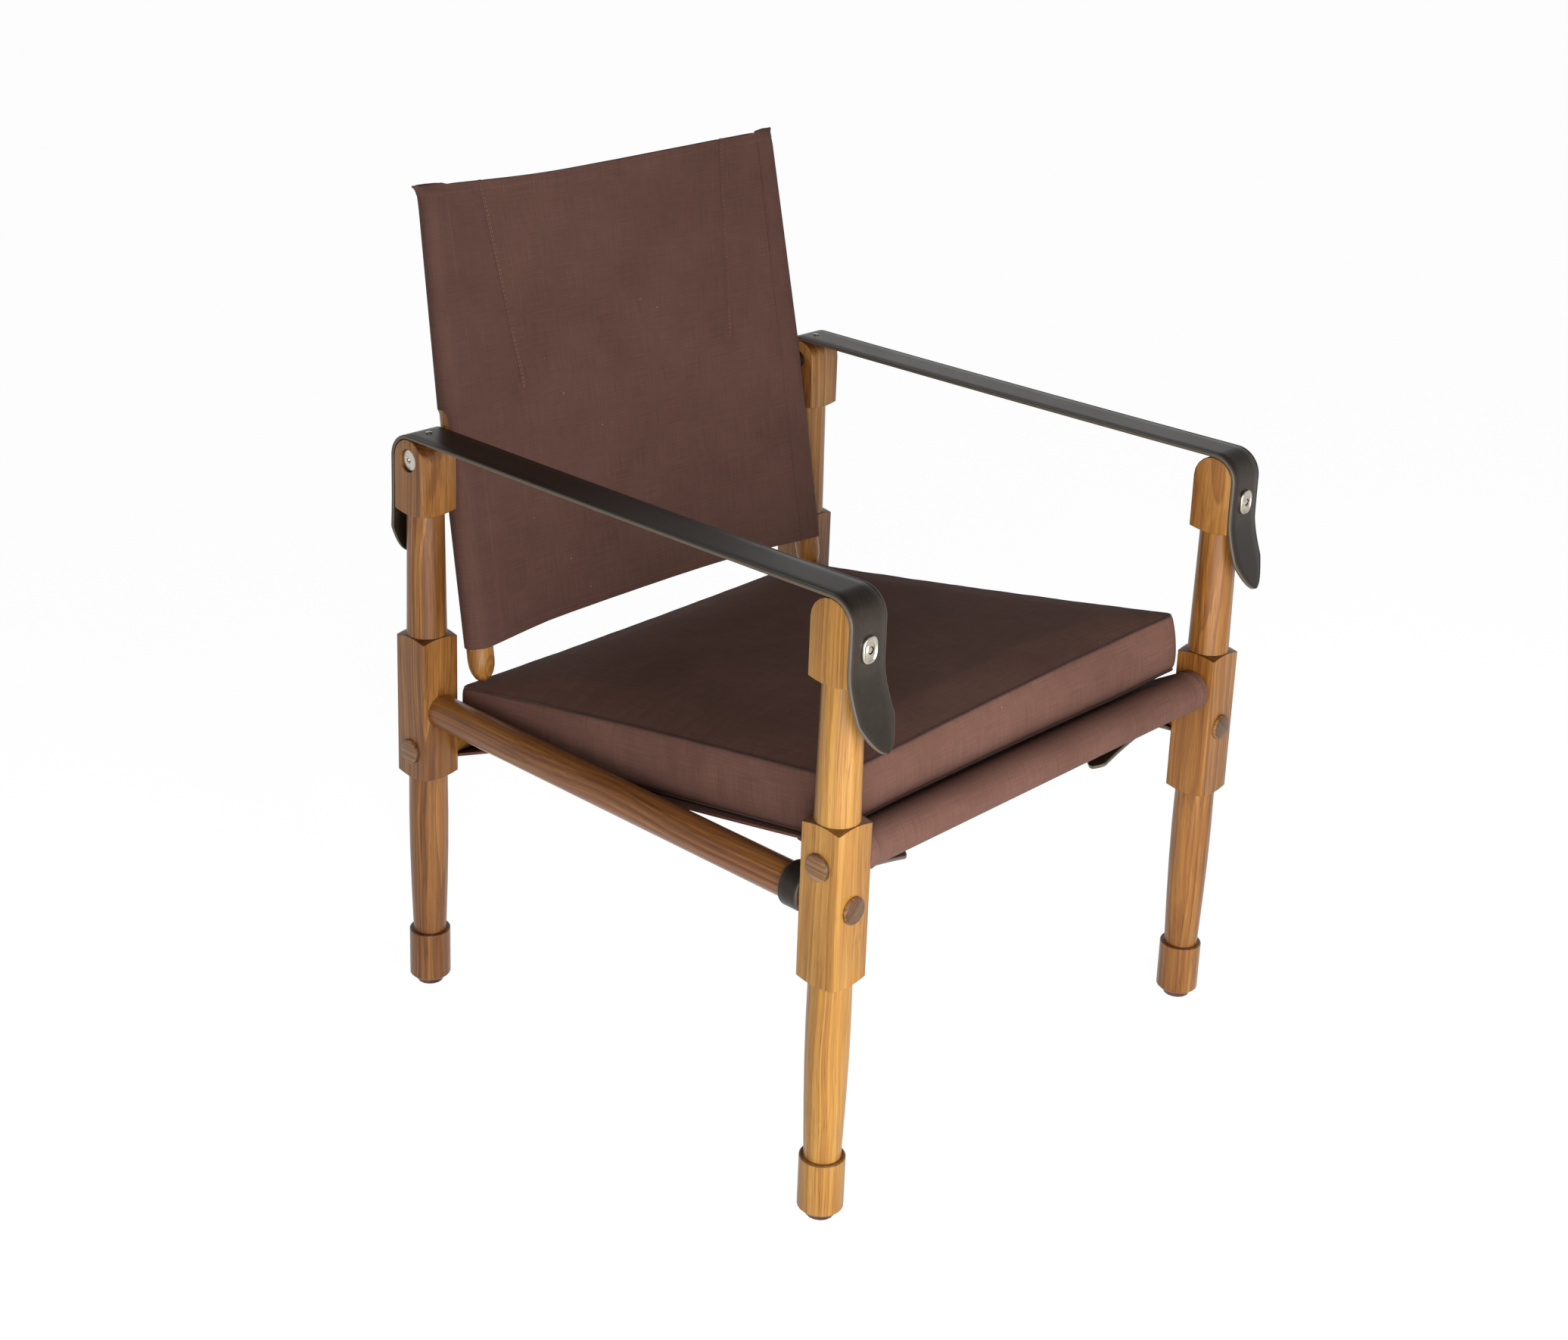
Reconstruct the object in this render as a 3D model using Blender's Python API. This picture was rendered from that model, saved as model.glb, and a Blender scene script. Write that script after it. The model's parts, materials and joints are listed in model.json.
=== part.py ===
"""Campaign chair with turned legs, a sling seat, a loose cushion and a pivoting canvas back.

Metres, +Z up, +X to the sitter's left as seen from the front, the front of the chair towards -Y.
The origin lies on the floor under the middle of the chair's overall box.
"""

import math

import bmesh
import bpy
from mathutils import Matrix, Vector

# Fits shared by all pieces
CLEARANCE = 0.0003
OVERRUN = 0.003

# Leg layout and leg blanks
LEG_SPACING_X = 0.542
LEG_SPACING_Y = 0.538
LEG_SIDE = 0.042
ARM_HEIGHT = 0.582
TOP_BLOCK_LENGTH = 0.0725
EDGE_ROUNDING = 0.0012

# Turned stretches of a leg, as steps in from the leg's flat faces
FOOT_LENGTH = 0.052
FOOT_RELIEF = 0.0005
FOOT_LEDGE = 0.0040
FOOT_ROUNDING = 0.0020
LEDGE_ROUNDING = 0.0012
SWELL_RELIEF = 0.0015
KNEE_RELIEF = 0.0019
NECK_RELIEF = 0.0012
THROAT_RELIEF = 0.0028
SHOULDER_SLOPE_SHARE = 0.32
SWELL_PLACE_SHARE = 0.74
SWELL_SHARES = (0.12, 0.30, 0.52, 0.74, 0.88)

# Foot glides
GLIDE_RADIUS = 0.014
GLIDE_HEIGHT = 0.0077
GLIDE_ROUNDING = 0.0030
GLIDE_NAIL_RADIUS = 0.0016
GLIDE_NAIL_LENGTH = 0.018

# Rails and the square blocks that they enter
RAIL_RADIUS = 0.0165
SIDE_RAIL_HEIGHT = 0.3044
FRONT_RAIL_RISE = 0.0389
REAR_RAIL_DROP = 0.0438
BLOCK_ABOVE_RAIL = 0.0347
BLOCK_BELOW_RAIL = 0.0256
TENON_RADIUS = 0.010
TENON_LENGTH = 0.012

# Rail bolts, their threaded inserts and the wooden buttons over them
BOLT_RADIUS = 0.004
BOLT_HEAD_RADIUS = 0.0065
BOLT_HEAD_LENGTH = 0.005
BOLT_SOCKET_RADIUS = 0.003
BOLT_SOCKET_DEPTH = 0.003
BOLT_TIP_SPARE = 0.002
INSERT_WALL = 0.002
INSERT_LENGTH = 0.016
THREAD_FIT = 0.0002
PIVOT_FIT = 0.00008
COUNTERBORE_RADIUS = 0.0098
COUNTERBORE_DEPTH = 0.010
BUTTON_RADIUS = 0.0125
BUTTON_PROUD = 0.0036
BUTTON_ROUNDING = 0.0020
BUTTON_SPIGOT_LENGTH = 0.004

# Back posts and the bolts that they pivot on
BACK_TILT = math.radians(10.5)
POST_TOE_IN = math.radians(0.8)
POST_RADIUS = 0.0133
POST_SIDE_GAP = 0.0047
POST_TOP_RADIUS = 0.0090
POST_STRAIGHT = 0.022
POST_TAIL_TAPER = 0.022
POST_END_TAPER = 0.014
POST_CUSHION_GAP = 0.0095
POST_SHOW = 0.036
POST_TOP_COVER = 0.009
SPOT_FACE_DEPTH = 0.0015
SPACER_RADIUS = 0.0095
PIVOT_HEAD_RADIUS = 0.0110
PIVOT_HEAD_LENGTH = 0.0040
PIVOT_HEAD_DISH = 0.0012
PIVOT_RECESS_DEPTH = 0.0055
PIVOT_SOCKET_RADIUS = 0.0028

# Back canvas
CANVAS_ABOVE_PIVOT = 0.254
CANVAS_THICKNESS = 0.0014
CANVAS_BOW = 0.0060
CANVAS_SCOOP = 0.0055
CANVAS_DIP = 0.0030
TOP_SEAM_HALF_DEPTH = 0.0016
TOP_SEAM_HALF_WIDTH = 0.0163
TOP_SEAM_REAR = 0.0035
WINDOW_ABOVE = 0.040
WINDOW_BELOW = 0.058
WINDOW_INSET = 0.0080
CANVAS_SHARES = (0.0, 0.12, 0.30, 0.52, 0.76, 0.90, 0.945, 0.975, 1.0)

# Leather arm straps and their fasteners
STRAP_WIDTH = 0.045
STRAP_THICKNESS = 0.0038
FRONT_TONGUE_DROP = 0.110
FRONT_TONGUE_FLARE = 0.0195
REAR_TONGUE_DROP = 0.102
REAR_TONGUE_FLARE = 0.0030
TONGUE_FLARE_LENGTH = 0.062
TONGUE_POINT = 0.030
FASTENER_DROP = 0.0212
STUD_BASE_RADIUS = 0.0048
STUD_BASE_THICKNESS = 0.0012
STUD_NECK_RADIUS = 0.0020
STUD_HEAD_RADIUS = 0.0026
STUD_PROUD = 0.0026
STUD_SCREW_RADIUS = 0.0016
STUD_SCREW_LENGTH = 0.012
SNAP_HALF_WIDTH = 0.0090
SNAP_HALF_HEIGHT = 0.0120
SNAP_THICKNESS = 0.0022
SNAP_RIM = 0.0016
SNAP_HOLE_RADIUS = 0.0034
NAIL_SETBACK = 0.006
NAIL_HEAD_RADIUS = 0.0032
NAIL_HEAD_THICKNESS = 0.0010
SCREW_HEAD_RADIUS = 0.0055
SCREW_HEAD_THICKNESS = 0.0024

# Leather strap under the front of the seat
THIGH_STRAP_WIDTH = 0.022
THIGH_STRAP_SETBACK = 0.0035
THIGH_LAP_RUN = 0.040
THIGH_LAP_LENGTH = 0.018
THIGH_TONGUE_LENGTH = 0.074
THIGH_TONGUE_DROP = 0.0195
THIGH_TONGUE_POINT = 0.009
RIVET_RADIUS = 0.0024
RIVET_HEAD_RADIUS = 0.0055
RIVET_HEAD_THICKNESS = 0.0016

# Seat sling
SLING_THICKNESS = 0.0020
SLEEVE_THICKNESS = 0.0018
SLING_SIDE_GAP = 0.0020
SLEEVE_TAIL = 0.052
SLING_SAG = 0.0040
SLING_DISH = 0.0020

# Boxed seat cushion
CUSHION_THICKNESS = 0.052
CUSHION_CROWN = 0.0120
CUSHION_FULLNESS = 0.0120
CUSHION_SIDE_GAP = 0.0040
CUSHION_FRONT_SETBACK = 0.0170
CUSHION_REAR_SETBACK = 0.0275
CUSHION_FRONT_LIFT = 0.0192
CUSHION_REAR_LIFT = 0.0090
CUSHION_REAR_DROP = 0.0035
CUSHION_LIFT_RUN = 0.125
CUSHION_CORNER_LIFT = 0.0030
CUSHION_DRAW_IN = 0.0050
CUSHION_SIDE_BULGE = 0.0015
CUSHION_SEAM_GROOVE = 0.0016
CUSHION_SEAM_STEP = 0.0030
CUSHION_CORNER_RADIUS = 0.008

# How finely round pieces are divided
LEG_SIDES = 24
ROUND_SIDES = 20
SMALL_SIDES = 16
HIDDEN_SIDES = 10
ARCH_STEPS = 10
SLEEVE_STEPS = 14
PANEL_STEPS = 8
SLING_STEPS = 6
LOOP_STEPS = 12
BEND_STEPS = 6
CUSHION_STEPS = 12

# Places worked out from the sizes above
LEG_HALF = LEG_SIDE / 2
LEG_X = LEG_SPACING_X / 2
INNER_X = LEG_X - LEG_HALF
LEG_BOTTOM = GLIDE_HEIGHT + CLEARANCE
PIVOT_HEIGHT = ARM_HEIGHT - LEG_HALF
FRONT_RAIL_HEIGHT = SIDE_RAIL_HEIGHT + FRONT_RAIL_RISE
REAR_RAIL_HEIGHT = SIDE_RAIL_HEIGHT - REAR_RAIL_DROP
BLOCK_TOP = FRONT_RAIL_HEIGHT + BLOCK_ABOVE_RAIL
BLOCK_BOTTOM = REAR_RAIL_HEIGHT - BLOCK_BELOW_RAIL
SLEEVE_RADIUS = RAIL_RADIUS + CLEARANCE + SLEEVE_THICKNESS
POST_X = INNER_X - POST_SIDE_GAP - POST_RADIUS
POST_BORE_RADIUS = POST_RADIUS + CLEARANCE
BACK_SLEEVE_RADIUS = POST_BORE_RADIUS + CANVAS_THICKNESS
STRAP_OFFSET = LEG_HALF + CLEARANCE + STRAP_THICKNESS / 2
FRONT_REACH = STRAP_OFFSET + STRAP_THICKNESS / 2 + FRONT_TONGUE_FLARE
CANVAS_SHOULDER = CANVAS_ABOVE_PIVOT - POST_TOP_COVER - POST_END_TAPER
TOP_SLEEVE_RADIUS = BACK_SLEEVE_RADIUS + POST_TOP_RADIUS - POST_RADIUS
CANVAS_TOP_REACH = math.hypot((CANVAS_ABOVE_PIVOT - CANVAS_SHOULDER) * math.sin(BACK_TILT),
                              (TOP_SLEEVE_RADIUS - TOP_SEAM_REAR) * math.cos(BACK_TILT))
REAR_REACH = CANVAS_SHOULDER * math.sin(BACK_TILT) + TOP_SEAM_REAR * math.cos(BACK_TILT) + CANVAS_TOP_REACH
FRONT_Y = -(LEG_SPACING_Y + REAR_REACH - FRONT_REACH) / 2
REAR_Y = FRONT_Y + LEG_SPACING_Y
SEAT_SLOPE = (FRONT_RAIL_HEIGHT - REAR_RAIL_HEIGHT) / LEG_SPACING_Y
SEAT_ANGLE = math.atan(SEAT_SLOPE)
INSERT_RADIUS = BOLT_RADIUS + THREAD_FIT + INSERT_WALL


def clear_scene():
    for item in list(bpy.data.objects):
        bpy.data.objects.remove(item, do_unlink=True)


def surface(name, colour, roughness, metallic):
    """Make or fetch one plain shaded material."""
    material = bpy.data.materials.get(name) or bpy.data.materials.new(name)
    material.use_nodes = True
    shader = material.node_tree.nodes["Principled BSDF"]
    shader.inputs["Base Color"].default_value = (*colour, 1.0)
    shader.inputs["Roughness"].default_value = roughness
    shader.inputs["Metallic"].default_value = metallic
    material.diffuse_color = (*colour, 1.0)
    return material


def walnut():
    return surface("oiled_walnut", (0.40, 0.22, 0.08), 0.42, 0.0)


def walnut_red():
    return surface("red_walnut", (0.24, 0.09, 0.03), 0.42, 0.0)


def walnut_dark():
    return surface("dark_walnut", (0.20, 0.10, 0.05), 0.45, 0.0)


def canvas():
    return surface("brown_canvas", (0.085, 0.045, 0.038), 0.85, 0.0)


def leather():
    return surface("black_leather", (0.022, 0.016, 0.012), 0.40, 0.0)


def nickel():
    return surface("nickel", (0.62, 0.57, 0.50), 0.28, 1.0)


def steel():
    return surface("steel", (0.50, 0.49, 0.46), 0.32, 1.0)


def brass():
    return surface("brass", (0.60, 0.42, 0.16), 0.35, 1.0)


def bronze():
    return surface("bronzed_steel", (0.10, 0.055, 0.035), 0.40, 0.8)


def add_object(name, mesh, material=None, smooth_angle=35.0):
    """Link a mesh as one object, smooth apart from its sharp edges."""
    mesh.shade_smooth()
    mesh.set_sharp_from_angle(angle=math.radians(smooth_angle))
    if material is not None and not mesh.materials:
        mesh.materials.append(material)
    item = bpy.data.objects.new(name, mesh)
    bpy.context.scene.collection.objects.link(item)
    return item


def finish_mesh(name, bm):
    """Turn a closed bmesh into a mesh whose faces point out."""
    bmesh.ops.recalc_face_normals(bm, faces=bm.faces)
    if bm.calc_volume(signed=True) < 0:
        bmesh.ops.reverse_faces(bm, faces=bm.faces)
    mesh = bpy.data.meshes.new(name)
    bm.to_mesh(mesh)
    bm.free()
    return mesh


def bridge_rows(bm, rows):
    """Join rows of vertices with faces; a row of one vertex is a pole."""
    for low, high in zip(rows, rows[1:]):
        count = max(len(low), len(high))
        for index in range(count):
            after = (index + 1) % count
            corners = [low[index % len(low)], low[after % len(low)], high[after % len(high)], high[index % len(high)]]
            bm.faces.new(list(dict.fromkeys(corners)))


def lathe(name, profile, sides, ring=False):
    """Spin (radius, height) points about Z. A ring's profile closes on itself."""
    bm = bmesh.new()
    rows = []
    for radius, height in profile:
        count = sides if radius > 0 else 1
        turns = [2 * math.pi * index / count for index in range(count)]
        rows.append([bm.verts.new((radius * math.cos(a), radius * math.sin(a), height)) for a in turns])
    if ring:
        rows.append(rows[0])
    bridge_rows(bm, rows)
    return finish_mesh(name, bm)


def loft(name, rings):
    """Skin a stack of closed outlines and cap both ends."""
    bm = bmesh.new()
    rows = [[bm.verts.new(point) for point in ring] for ring in rings]
    bridge_rows(bm, rows)
    bm.faces.new(rows[0])
    bm.faces.new(rows[-1])
    return finish_mesh(name, bm)


def aim(item, place, direction):
    """Put an object's origin at a place with its Z axis along a direction."""
    turn = Vector(direction).to_track_quat("Z", "Y")
    item.matrix_world = Matrix.Translation(place) @ turn.to_matrix().to_4x4()


def cutter(name, mesh, place=(0, 0, 0), direction=(0, 0, 1)):
    """A hidden guide that only shapes other pieces."""
    item = add_object(name, mesh)
    aim(item, place, direction)
    item.hide_render = True
    item.display_type = "WIRE"
    return item


def shape_with(item, tool, operation="DIFFERENCE"):
    modifier = item.modifiers.new(f"{operation.lower()} {tool.name}", "BOOLEAN")
    modifier.operation = operation
    modifier.object = tool
    modifier.solver = "EXACT"


def shaft_cutter(name, radius, length):
    """A plain round cutter from just before its origin to a depth."""
    profile = [(0, -OVERRUN), (radius, -OVERRUN), (radius, length), (0, length)]
    return lathe(name, profile, HIDDEN_SIDES)


def arc(start, end, steps):
    return [start + (end - start) * step / steps for step in range(steps + 1)]


def ease(share):
    """Smooth step from 0 to 1."""
    share = min(max(share, 0.0), 1.0)
    return share * share * (3 - 2 * share)


# Legs

def leg_profile():
    """The turned blank of a leg, wide where the square stock is left on."""
    foot_radius = LEG_HALF - FOOT_RELIEF
    ankle_radius = foot_radius - FOOT_LEDGE
    swell_radius = LEG_HALF - SWELL_RELIEF
    knee_radius = LEG_HALF - KNEE_RELIEF
    neck_radius = LEG_HALF - NECK_RELIEF
    throat_radius = LEG_HALF - THROAT_RELIEF
    stock_radius = LEG_HALF * math.sqrt(2) + OVERRUN
    corner_radius = LEG_HALF * math.sqrt(2)
    nail_radius = GLIDE_NAIL_RADIUS + CLEARANCE
    nail_top = LEG_BOTTOM + GLIDE_NAIL_LENGTH + CLEARANCE
    foot_top = LEG_BOTTOM + FOOT_LENGTH
    block_top = BLOCK_TOP
    top_block_bottom = ARM_HEIGHT - TOP_BLOCK_LENGTH

    def shoulder(radius):
        return (corner_radius - radius) * SHOULDER_SLOPE_SHARE

    points = [(0, nail_top), (nail_radius, nail_top), (nail_radius, LEG_BOTTOM)]
    points.append((foot_radius - FOOT_ROUNDING, LEG_BOTTOM))
    points.append((foot_radius, LEG_BOTTOM + FOOT_ROUNDING))
    points.append((foot_radius, foot_top - LEDGE_ROUNDING))
    points.append((foot_radius - LEDGE_ROUNDING, foot_top))
    points.append((ankle_radius, foot_top))
    for share in SWELL_SHARES:
        height = foot_top + (BLOCK_BOTTOM - foot_top) * share
        if share <= SWELL_PLACE_SHARE:
            rise = math.sin(math.pi / 2 * share / SWELL_PLACE_SHARE)
            radius = ankle_radius + (swell_radius - ankle_radius) * rise
        else:
            fall = ease((share - SWELL_PLACE_SHARE) / (1 - SWELL_PLACE_SHARE))
            radius = swell_radius + (knee_radius - swell_radius) * fall
        points.append((radius, height))
    points.append((knee_radius, BLOCK_BOTTOM - shoulder(knee_radius)))
    points.append((stock_radius, BLOCK_BOTTOM - shoulder(stock_radius)))
    points.append((stock_radius, block_top + shoulder(stock_radius)))
    points.append((neck_radius, block_top + shoulder(neck_radius)))
    points.append(((neck_radius + throat_radius) / 2, (block_top + top_block_bottom) / 2))
    points.append((throat_radius, top_block_bottom - shoulder(throat_radius)))
    points.append((stock_radius, top_block_bottom - shoulder(stock_radius)))
    points.append((stock_radius, ARM_HEIGHT + OVERRUN))
    points.append((0, ARM_HEIGHT + OVERRUN))
    return points


def leg_stock():
    """Square stock with an arched top, its long edges eased."""
    bm = bmesh.new()
    outline = [(-LEG_HALF, 0.0), (LEG_HALF, 0.0)]
    for angle in arc(0, math.pi, ARCH_STEPS):
        outline.append((LEG_HALF * math.cos(angle), PIVOT_HEIGHT + LEG_HALF * math.sin(angle)))
    face = bm.faces.new([bm.verts.new((-LEG_HALF, y, z)) for y, z in outline])
    sides = [face]
    made = bmesh.ops.extrude_face_region(bm, geom=[face], use_keep_orig=True)["geom"]
    moved = [part for part in made if isinstance(part, bmesh.types.BMVert)]
    bmesh.ops.translate(bm, verts=moved, vec=(LEG_SIDE, 0, 0))
    sides += [part for part in made if isinstance(part, bmesh.types.BMFace)]
    edges = {edge for side in sides for edge in side.edges}
    bmesh.ops.bevel(bm, geom=list(edges), offset=EDGE_ROUNDING, segments=2, affect="EDGES", profile=0.5)
    return finish_mesh("leg_stock", bm)


def rail_joint_cutter():
    """Counterbore, bolt hole and tenon socket, along +Z from a leg's outer face."""
    hole_radius = BOLT_RADIUS + CLEARANCE
    socket_radius = TENON_RADIUS + CLEARANCE
    socket_floor = LEG_SIDE - TENON_LENGTH - CLEARANCE
    profile = [
        (0, -OVERRUN),
        (COUNTERBORE_RADIUS, -OVERRUN),
        (COUNTERBORE_RADIUS, COUNTERBORE_DEPTH),
        (hole_radius, COUNTERBORE_DEPTH),
        (hole_radius, socket_floor),
        (socket_radius, socket_floor),
        (socket_radius, LEG_SIDE + OVERRUN),
        (0, LEG_SIDE + OVERRUN),
    ]
    return lathe("rail_joint_cutter", profile, SMALL_SIDES)


def pivot_cutter():
    """Head recess and bolt hole, along +Z from a rear leg's outer face."""
    profile = [
        (0, -OVERRUN),
        (PIVOT_HEAD_RADIUS + CLEARANCE, -OVERRUN),
        (PIVOT_HEAD_RADIUS + CLEARANCE, PIVOT_RECESS_DEPTH),
        (BOLT_RADIUS + CLEARANCE, PIVOT_RECESS_DEPTH),
        (BOLT_RADIUS + CLEARANCE, LEG_SIDE + OVERRUN),
        (0, LEG_SIDE + OVERRUN),
    ]
    return lathe("pivot_cutter", profile, ROUND_SIDES)


def rail_ends():
    """Every rail end as its name, the middle of the leg's outer face there and the way in."""
    ends = []
    for rail, y, height in (("front", FRONT_Y, FRONT_RAIL_HEIGHT), ("rear", REAR_Y, REAR_RAIL_HEIGHT)):
        for end, sign in (("left", -1), ("right", 1)):
            ends.append((rail, end, Vector((sign * (LEG_X + LEG_HALF), y, height)), Vector((-sign, 0, 0))))
    for rail, sign in (("left", -1), ("right", 1)):
        front_face = Vector((sign * LEG_X, FRONT_Y - LEG_HALF, SIDE_RAIL_HEIGHT))
        rear_face = Vector((sign * LEG_X, REAR_Y + LEG_HALF, SIDE_RAIL_HEIGHT))
        ends.append((rail, "front", front_face, Vector((0, 1, 0))))
        ends.append((rail, "rear", rear_face, Vector((0, -1, 0))))
    return ends


def leg_name(rail, end):
    """The leg that a rail end enters."""
    return f"leg_{rail}_{end}" if rail in ("front", "rear") else f"leg_{end}_{rail}"


def build_legs():
    blank = lathe("leg_blank", leg_profile(), LEG_SIDES)
    stock = leg_stock()
    screw_hole = shaft_cutter("screw_hole", STUD_SCREW_RADIUS + CLEARANCE, STUD_SCREW_LENGTH + CLEARANCE)
    joint = rail_joint_cutter()
    pivot = pivot_cutter()
    for depth_name, y, face in (("front", FRONT_Y, -1), ("rear", REAR_Y, 1)):
        for side_name, sign in (("left", -1), ("right", 1)):
            leg = add_object(f"leg_{depth_name}_{side_name}", blank, walnut())
            leg.location = (sign * LEG_X, y, 0)
            block = cutter(f"stock_{depth_name}_{side_name}", stock, (sign * LEG_X, y, 0))
            shape_with(leg, block, "INTERSECT")
            screw_place = (sign * LEG_X, y + face * LEG_HALF, PIVOT_HEIGHT - FASTENER_DROP)
            hole = cutter(f"screw_hole_{depth_name}_{side_name}", screw_hole, screw_place, (0, -face, 0))
            shape_with(leg, hole)
            if depth_name == "rear":
                pivot_place = (sign * (LEG_X + LEG_HALF), y, PIVOT_HEIGHT)
                bore = cutter(f"pivot_bore_{side_name}", pivot, pivot_place, (-sign, 0, 0))
                shape_with(leg, bore)
                nail_place = (sign * LEG_X, y - NAIL_SETBACK, ARM_HEIGHT)
                nail_hole = cutter(f"nail_hole_{side_name}", screw_hole, nail_place, (0, 0, -1))
                shape_with(leg, nail_hole)
    for rail, end, place, inward in rail_ends():
        leg = bpy.data.objects[leg_name(rail, end)]
        bore = cutter(f"joint_bore_{rail}_{end}", joint, place, inward)
        shape_with(leg, bore)


def build_glides():
    profile = [
        (0, 0),
        (GLIDE_RADIUS - GLIDE_ROUNDING, 0),
        (GLIDE_RADIUS - GLIDE_ROUNDING / 3, GLIDE_ROUNDING / 3),
        (GLIDE_RADIUS, GLIDE_ROUNDING),
        (GLIDE_RADIUS, GLIDE_HEIGHT),
        (GLIDE_NAIL_RADIUS, GLIDE_HEIGHT),
        (GLIDE_NAIL_RADIUS, GLIDE_HEIGHT + GLIDE_NAIL_LENGTH),
        (0, GLIDE_HEIGHT + GLIDE_NAIL_LENGTH),
    ]
    mesh = lathe("glide", profile, SMALL_SIDES)
    for depth_name, y in (("front", FRONT_Y), ("rear", REAR_Y)):
        for side_name, sign in (("left", -1), ("right", 1)):
            glide = add_object(f"glide_{depth_name}_{side_name}", mesh, bronze())
            glide.location = (sign * LEG_X, y, 0)


# Rails and their bolts

def rail_mesh(name, span):
    """A round rail with a bored tenon at each end, along Z and centred."""
    body = span / 2 - CLEARANCE
    tip = body + TENON_LENGTH
    bore_radius = INSERT_RADIUS + CLEARANCE
    bore_floor = tip - CLEARANCE - INSERT_LENGTH - BOLT_TIP_SPARE - CLEARANCE
    upper = [
        (RAIL_RADIUS, body),
        (TENON_RADIUS, body),
        (TENON_RADIUS, tip),
        (bore_radius, tip),
        (bore_radius, bore_floor),
        (0, bore_floor),
    ]
    lower = [(radius, -height) for radius, height in reversed(upper)]
    return lathe(name, lower + upper, ROUND_SIDES)


def build_rails():
    cross = rail_mesh("cross_rail", LEG_SPACING_X - LEG_SIDE)
    side = rail_mesh("side_rail", LEG_SPACING_Y - LEG_SIDE)
    for name, y, height in (("front", FRONT_Y, FRONT_RAIL_HEIGHT), ("rear", REAR_Y, REAR_RAIL_HEIGHT)):
        aim(add_object(f"rail_{name}", cross, walnut_red()), (0, y, height), (1, 0, 0))
    for name, sign in (("left", -1), ("right", 1)):
        middle = (FRONT_Y + REAR_Y) / 2
        aim(add_object(f"rail_{name}", side, walnut_red()), (sign * LEG_X, middle, SIDE_RAIL_HEIGHT), (0, 1, 0))


def bolt_mesh():
    """Socket-head bolt along +Z; its head's seat is at height zero."""
    seat_to_tenon = LEG_SIDE - COUNTERBORE_DEPTH - TENON_LENGTH
    tip = seat_to_tenon + INSERT_LENGTH + BOLT_TIP_SPARE - CLEARANCE
    profile = [
        (0, -BOLT_HEAD_LENGTH + BOLT_SOCKET_DEPTH),
        (BOLT_SOCKET_RADIUS, -BOLT_HEAD_LENGTH + BOLT_SOCKET_DEPTH),
        (BOLT_SOCKET_RADIUS, -BOLT_HEAD_LENGTH),
        (BOLT_HEAD_RADIUS, -BOLT_HEAD_LENGTH),
        (BOLT_HEAD_RADIUS, 0),
        (BOLT_RADIUS, 0),
        (BOLT_RADIUS, tip),
        (0, tip),
    ]
    return lathe("rail_bolt", profile, HIDDEN_SIDES)


def insert_mesh(name, length, fit, sides):
    """Metal insert round a bolt: a plain sleeve along +Z."""
    inner = BOLT_RADIUS + fit
    profile = [(inner, 0), (INSERT_RADIUS, 0), (INSERT_RADIUS, length), (inner, length)]
    return lathe(name, profile, sides, ring=True)


def button_mesh():
    """Wooden cover button along +Z into the leg, its head's seat at height zero."""
    spigot_radius = COUNTERBORE_RADIUS - CLEARANCE
    profile = [(0, -BUTTON_PROUD)]
    for angle in arc(0, math.pi / 2, 2):
        radius = BUTTON_RADIUS - BUTTON_ROUNDING + BUTTON_ROUNDING * math.sin(angle)
        profile.append((radius, -BUTTON_PROUD + BUTTON_ROUNDING - BUTTON_ROUNDING * math.cos(angle)))
    profile.append((BUTTON_RADIUS, 0))
    profile.append((spigot_radius, 0))
    profile.append((spigot_radius, BUTTON_SPIGOT_LENGTH))
    profile.append((0, BUTTON_SPIGOT_LENGTH))
    return lathe("button", profile, SMALL_SIDES)


def build_rail_fastenings():
    bolt = bolt_mesh()
    insert = insert_mesh("rail_insert", INSERT_LENGTH, THREAD_FIT, HIDDEN_SIDES)
    button = button_mesh()
    insert_depth = LEG_SIDE - TENON_LENGTH + CLEARANCE
    for rail, end, face, inward in rail_ends():
        seat = face + inward * (COUNTERBORE_DEPTH - CLEARANCE)
        aim(add_object(f"bolt_{rail}_rail_{end}", bolt, steel()), seat, inward)
        aim(add_object(f"insert_{rail}_rail_{end}", insert, brass()), face + inward * insert_depth, inward)
        aim(add_object(f"button_{rail}_rail_{end}", button, walnut_dark()), face - inward * CLEARANCE, inward)


# Seat sling and cushion

def seat_height(share):
    """Height of the line between the rail centres, from front 0 to rear 1."""
    return FRONT_RAIL_HEIGHT + (REAR_RAIL_HEIGHT - FRONT_RAIL_HEIGHT) * share


def sling_height(across, y):
    """Height of the sling's middle surface; across runs from -1 to 1 over its width."""
    share = (y - FRONT_Y) / LEG_SPACING_Y
    inside = (y - FRONT_Y - SLEEVE_TAIL) / (LEG_SPACING_Y - 2 * SLEEVE_TAIL)
    dish = max(0.0, 4 * SLING_DISH * inside * (1 - inside) * (1 - across * across))
    return seat_height(share) - 4 * SLING_SAG * share * (1 - share) - dish


def sleeve_turns():
    """Each cross rail's place and the turns round its sleeve, from one tangent of the panel to the other."""
    reach = math.acos(SLEEVE_RADIUS / SLEEVE_TAIL)
    front = arc(reach - SEAT_ANGLE, 2 * math.pi - reach - SEAT_ANGLE, SLEEVE_STEPS)
    rear = [turn + math.pi for turn in front]
    inside = arc(-reach, reach, SLEEVE_STEPS // 2)[1:-1]
    return (
        (FRONT_Y, FRONT_RAIL_HEIGHT, front, [turn - SEAT_ANGLE for turn in inside]),
        (REAR_Y, REAR_RAIL_HEIGHT, rear, [turn - SEAT_ANGLE + math.pi for turn in inside]),
    )


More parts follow.
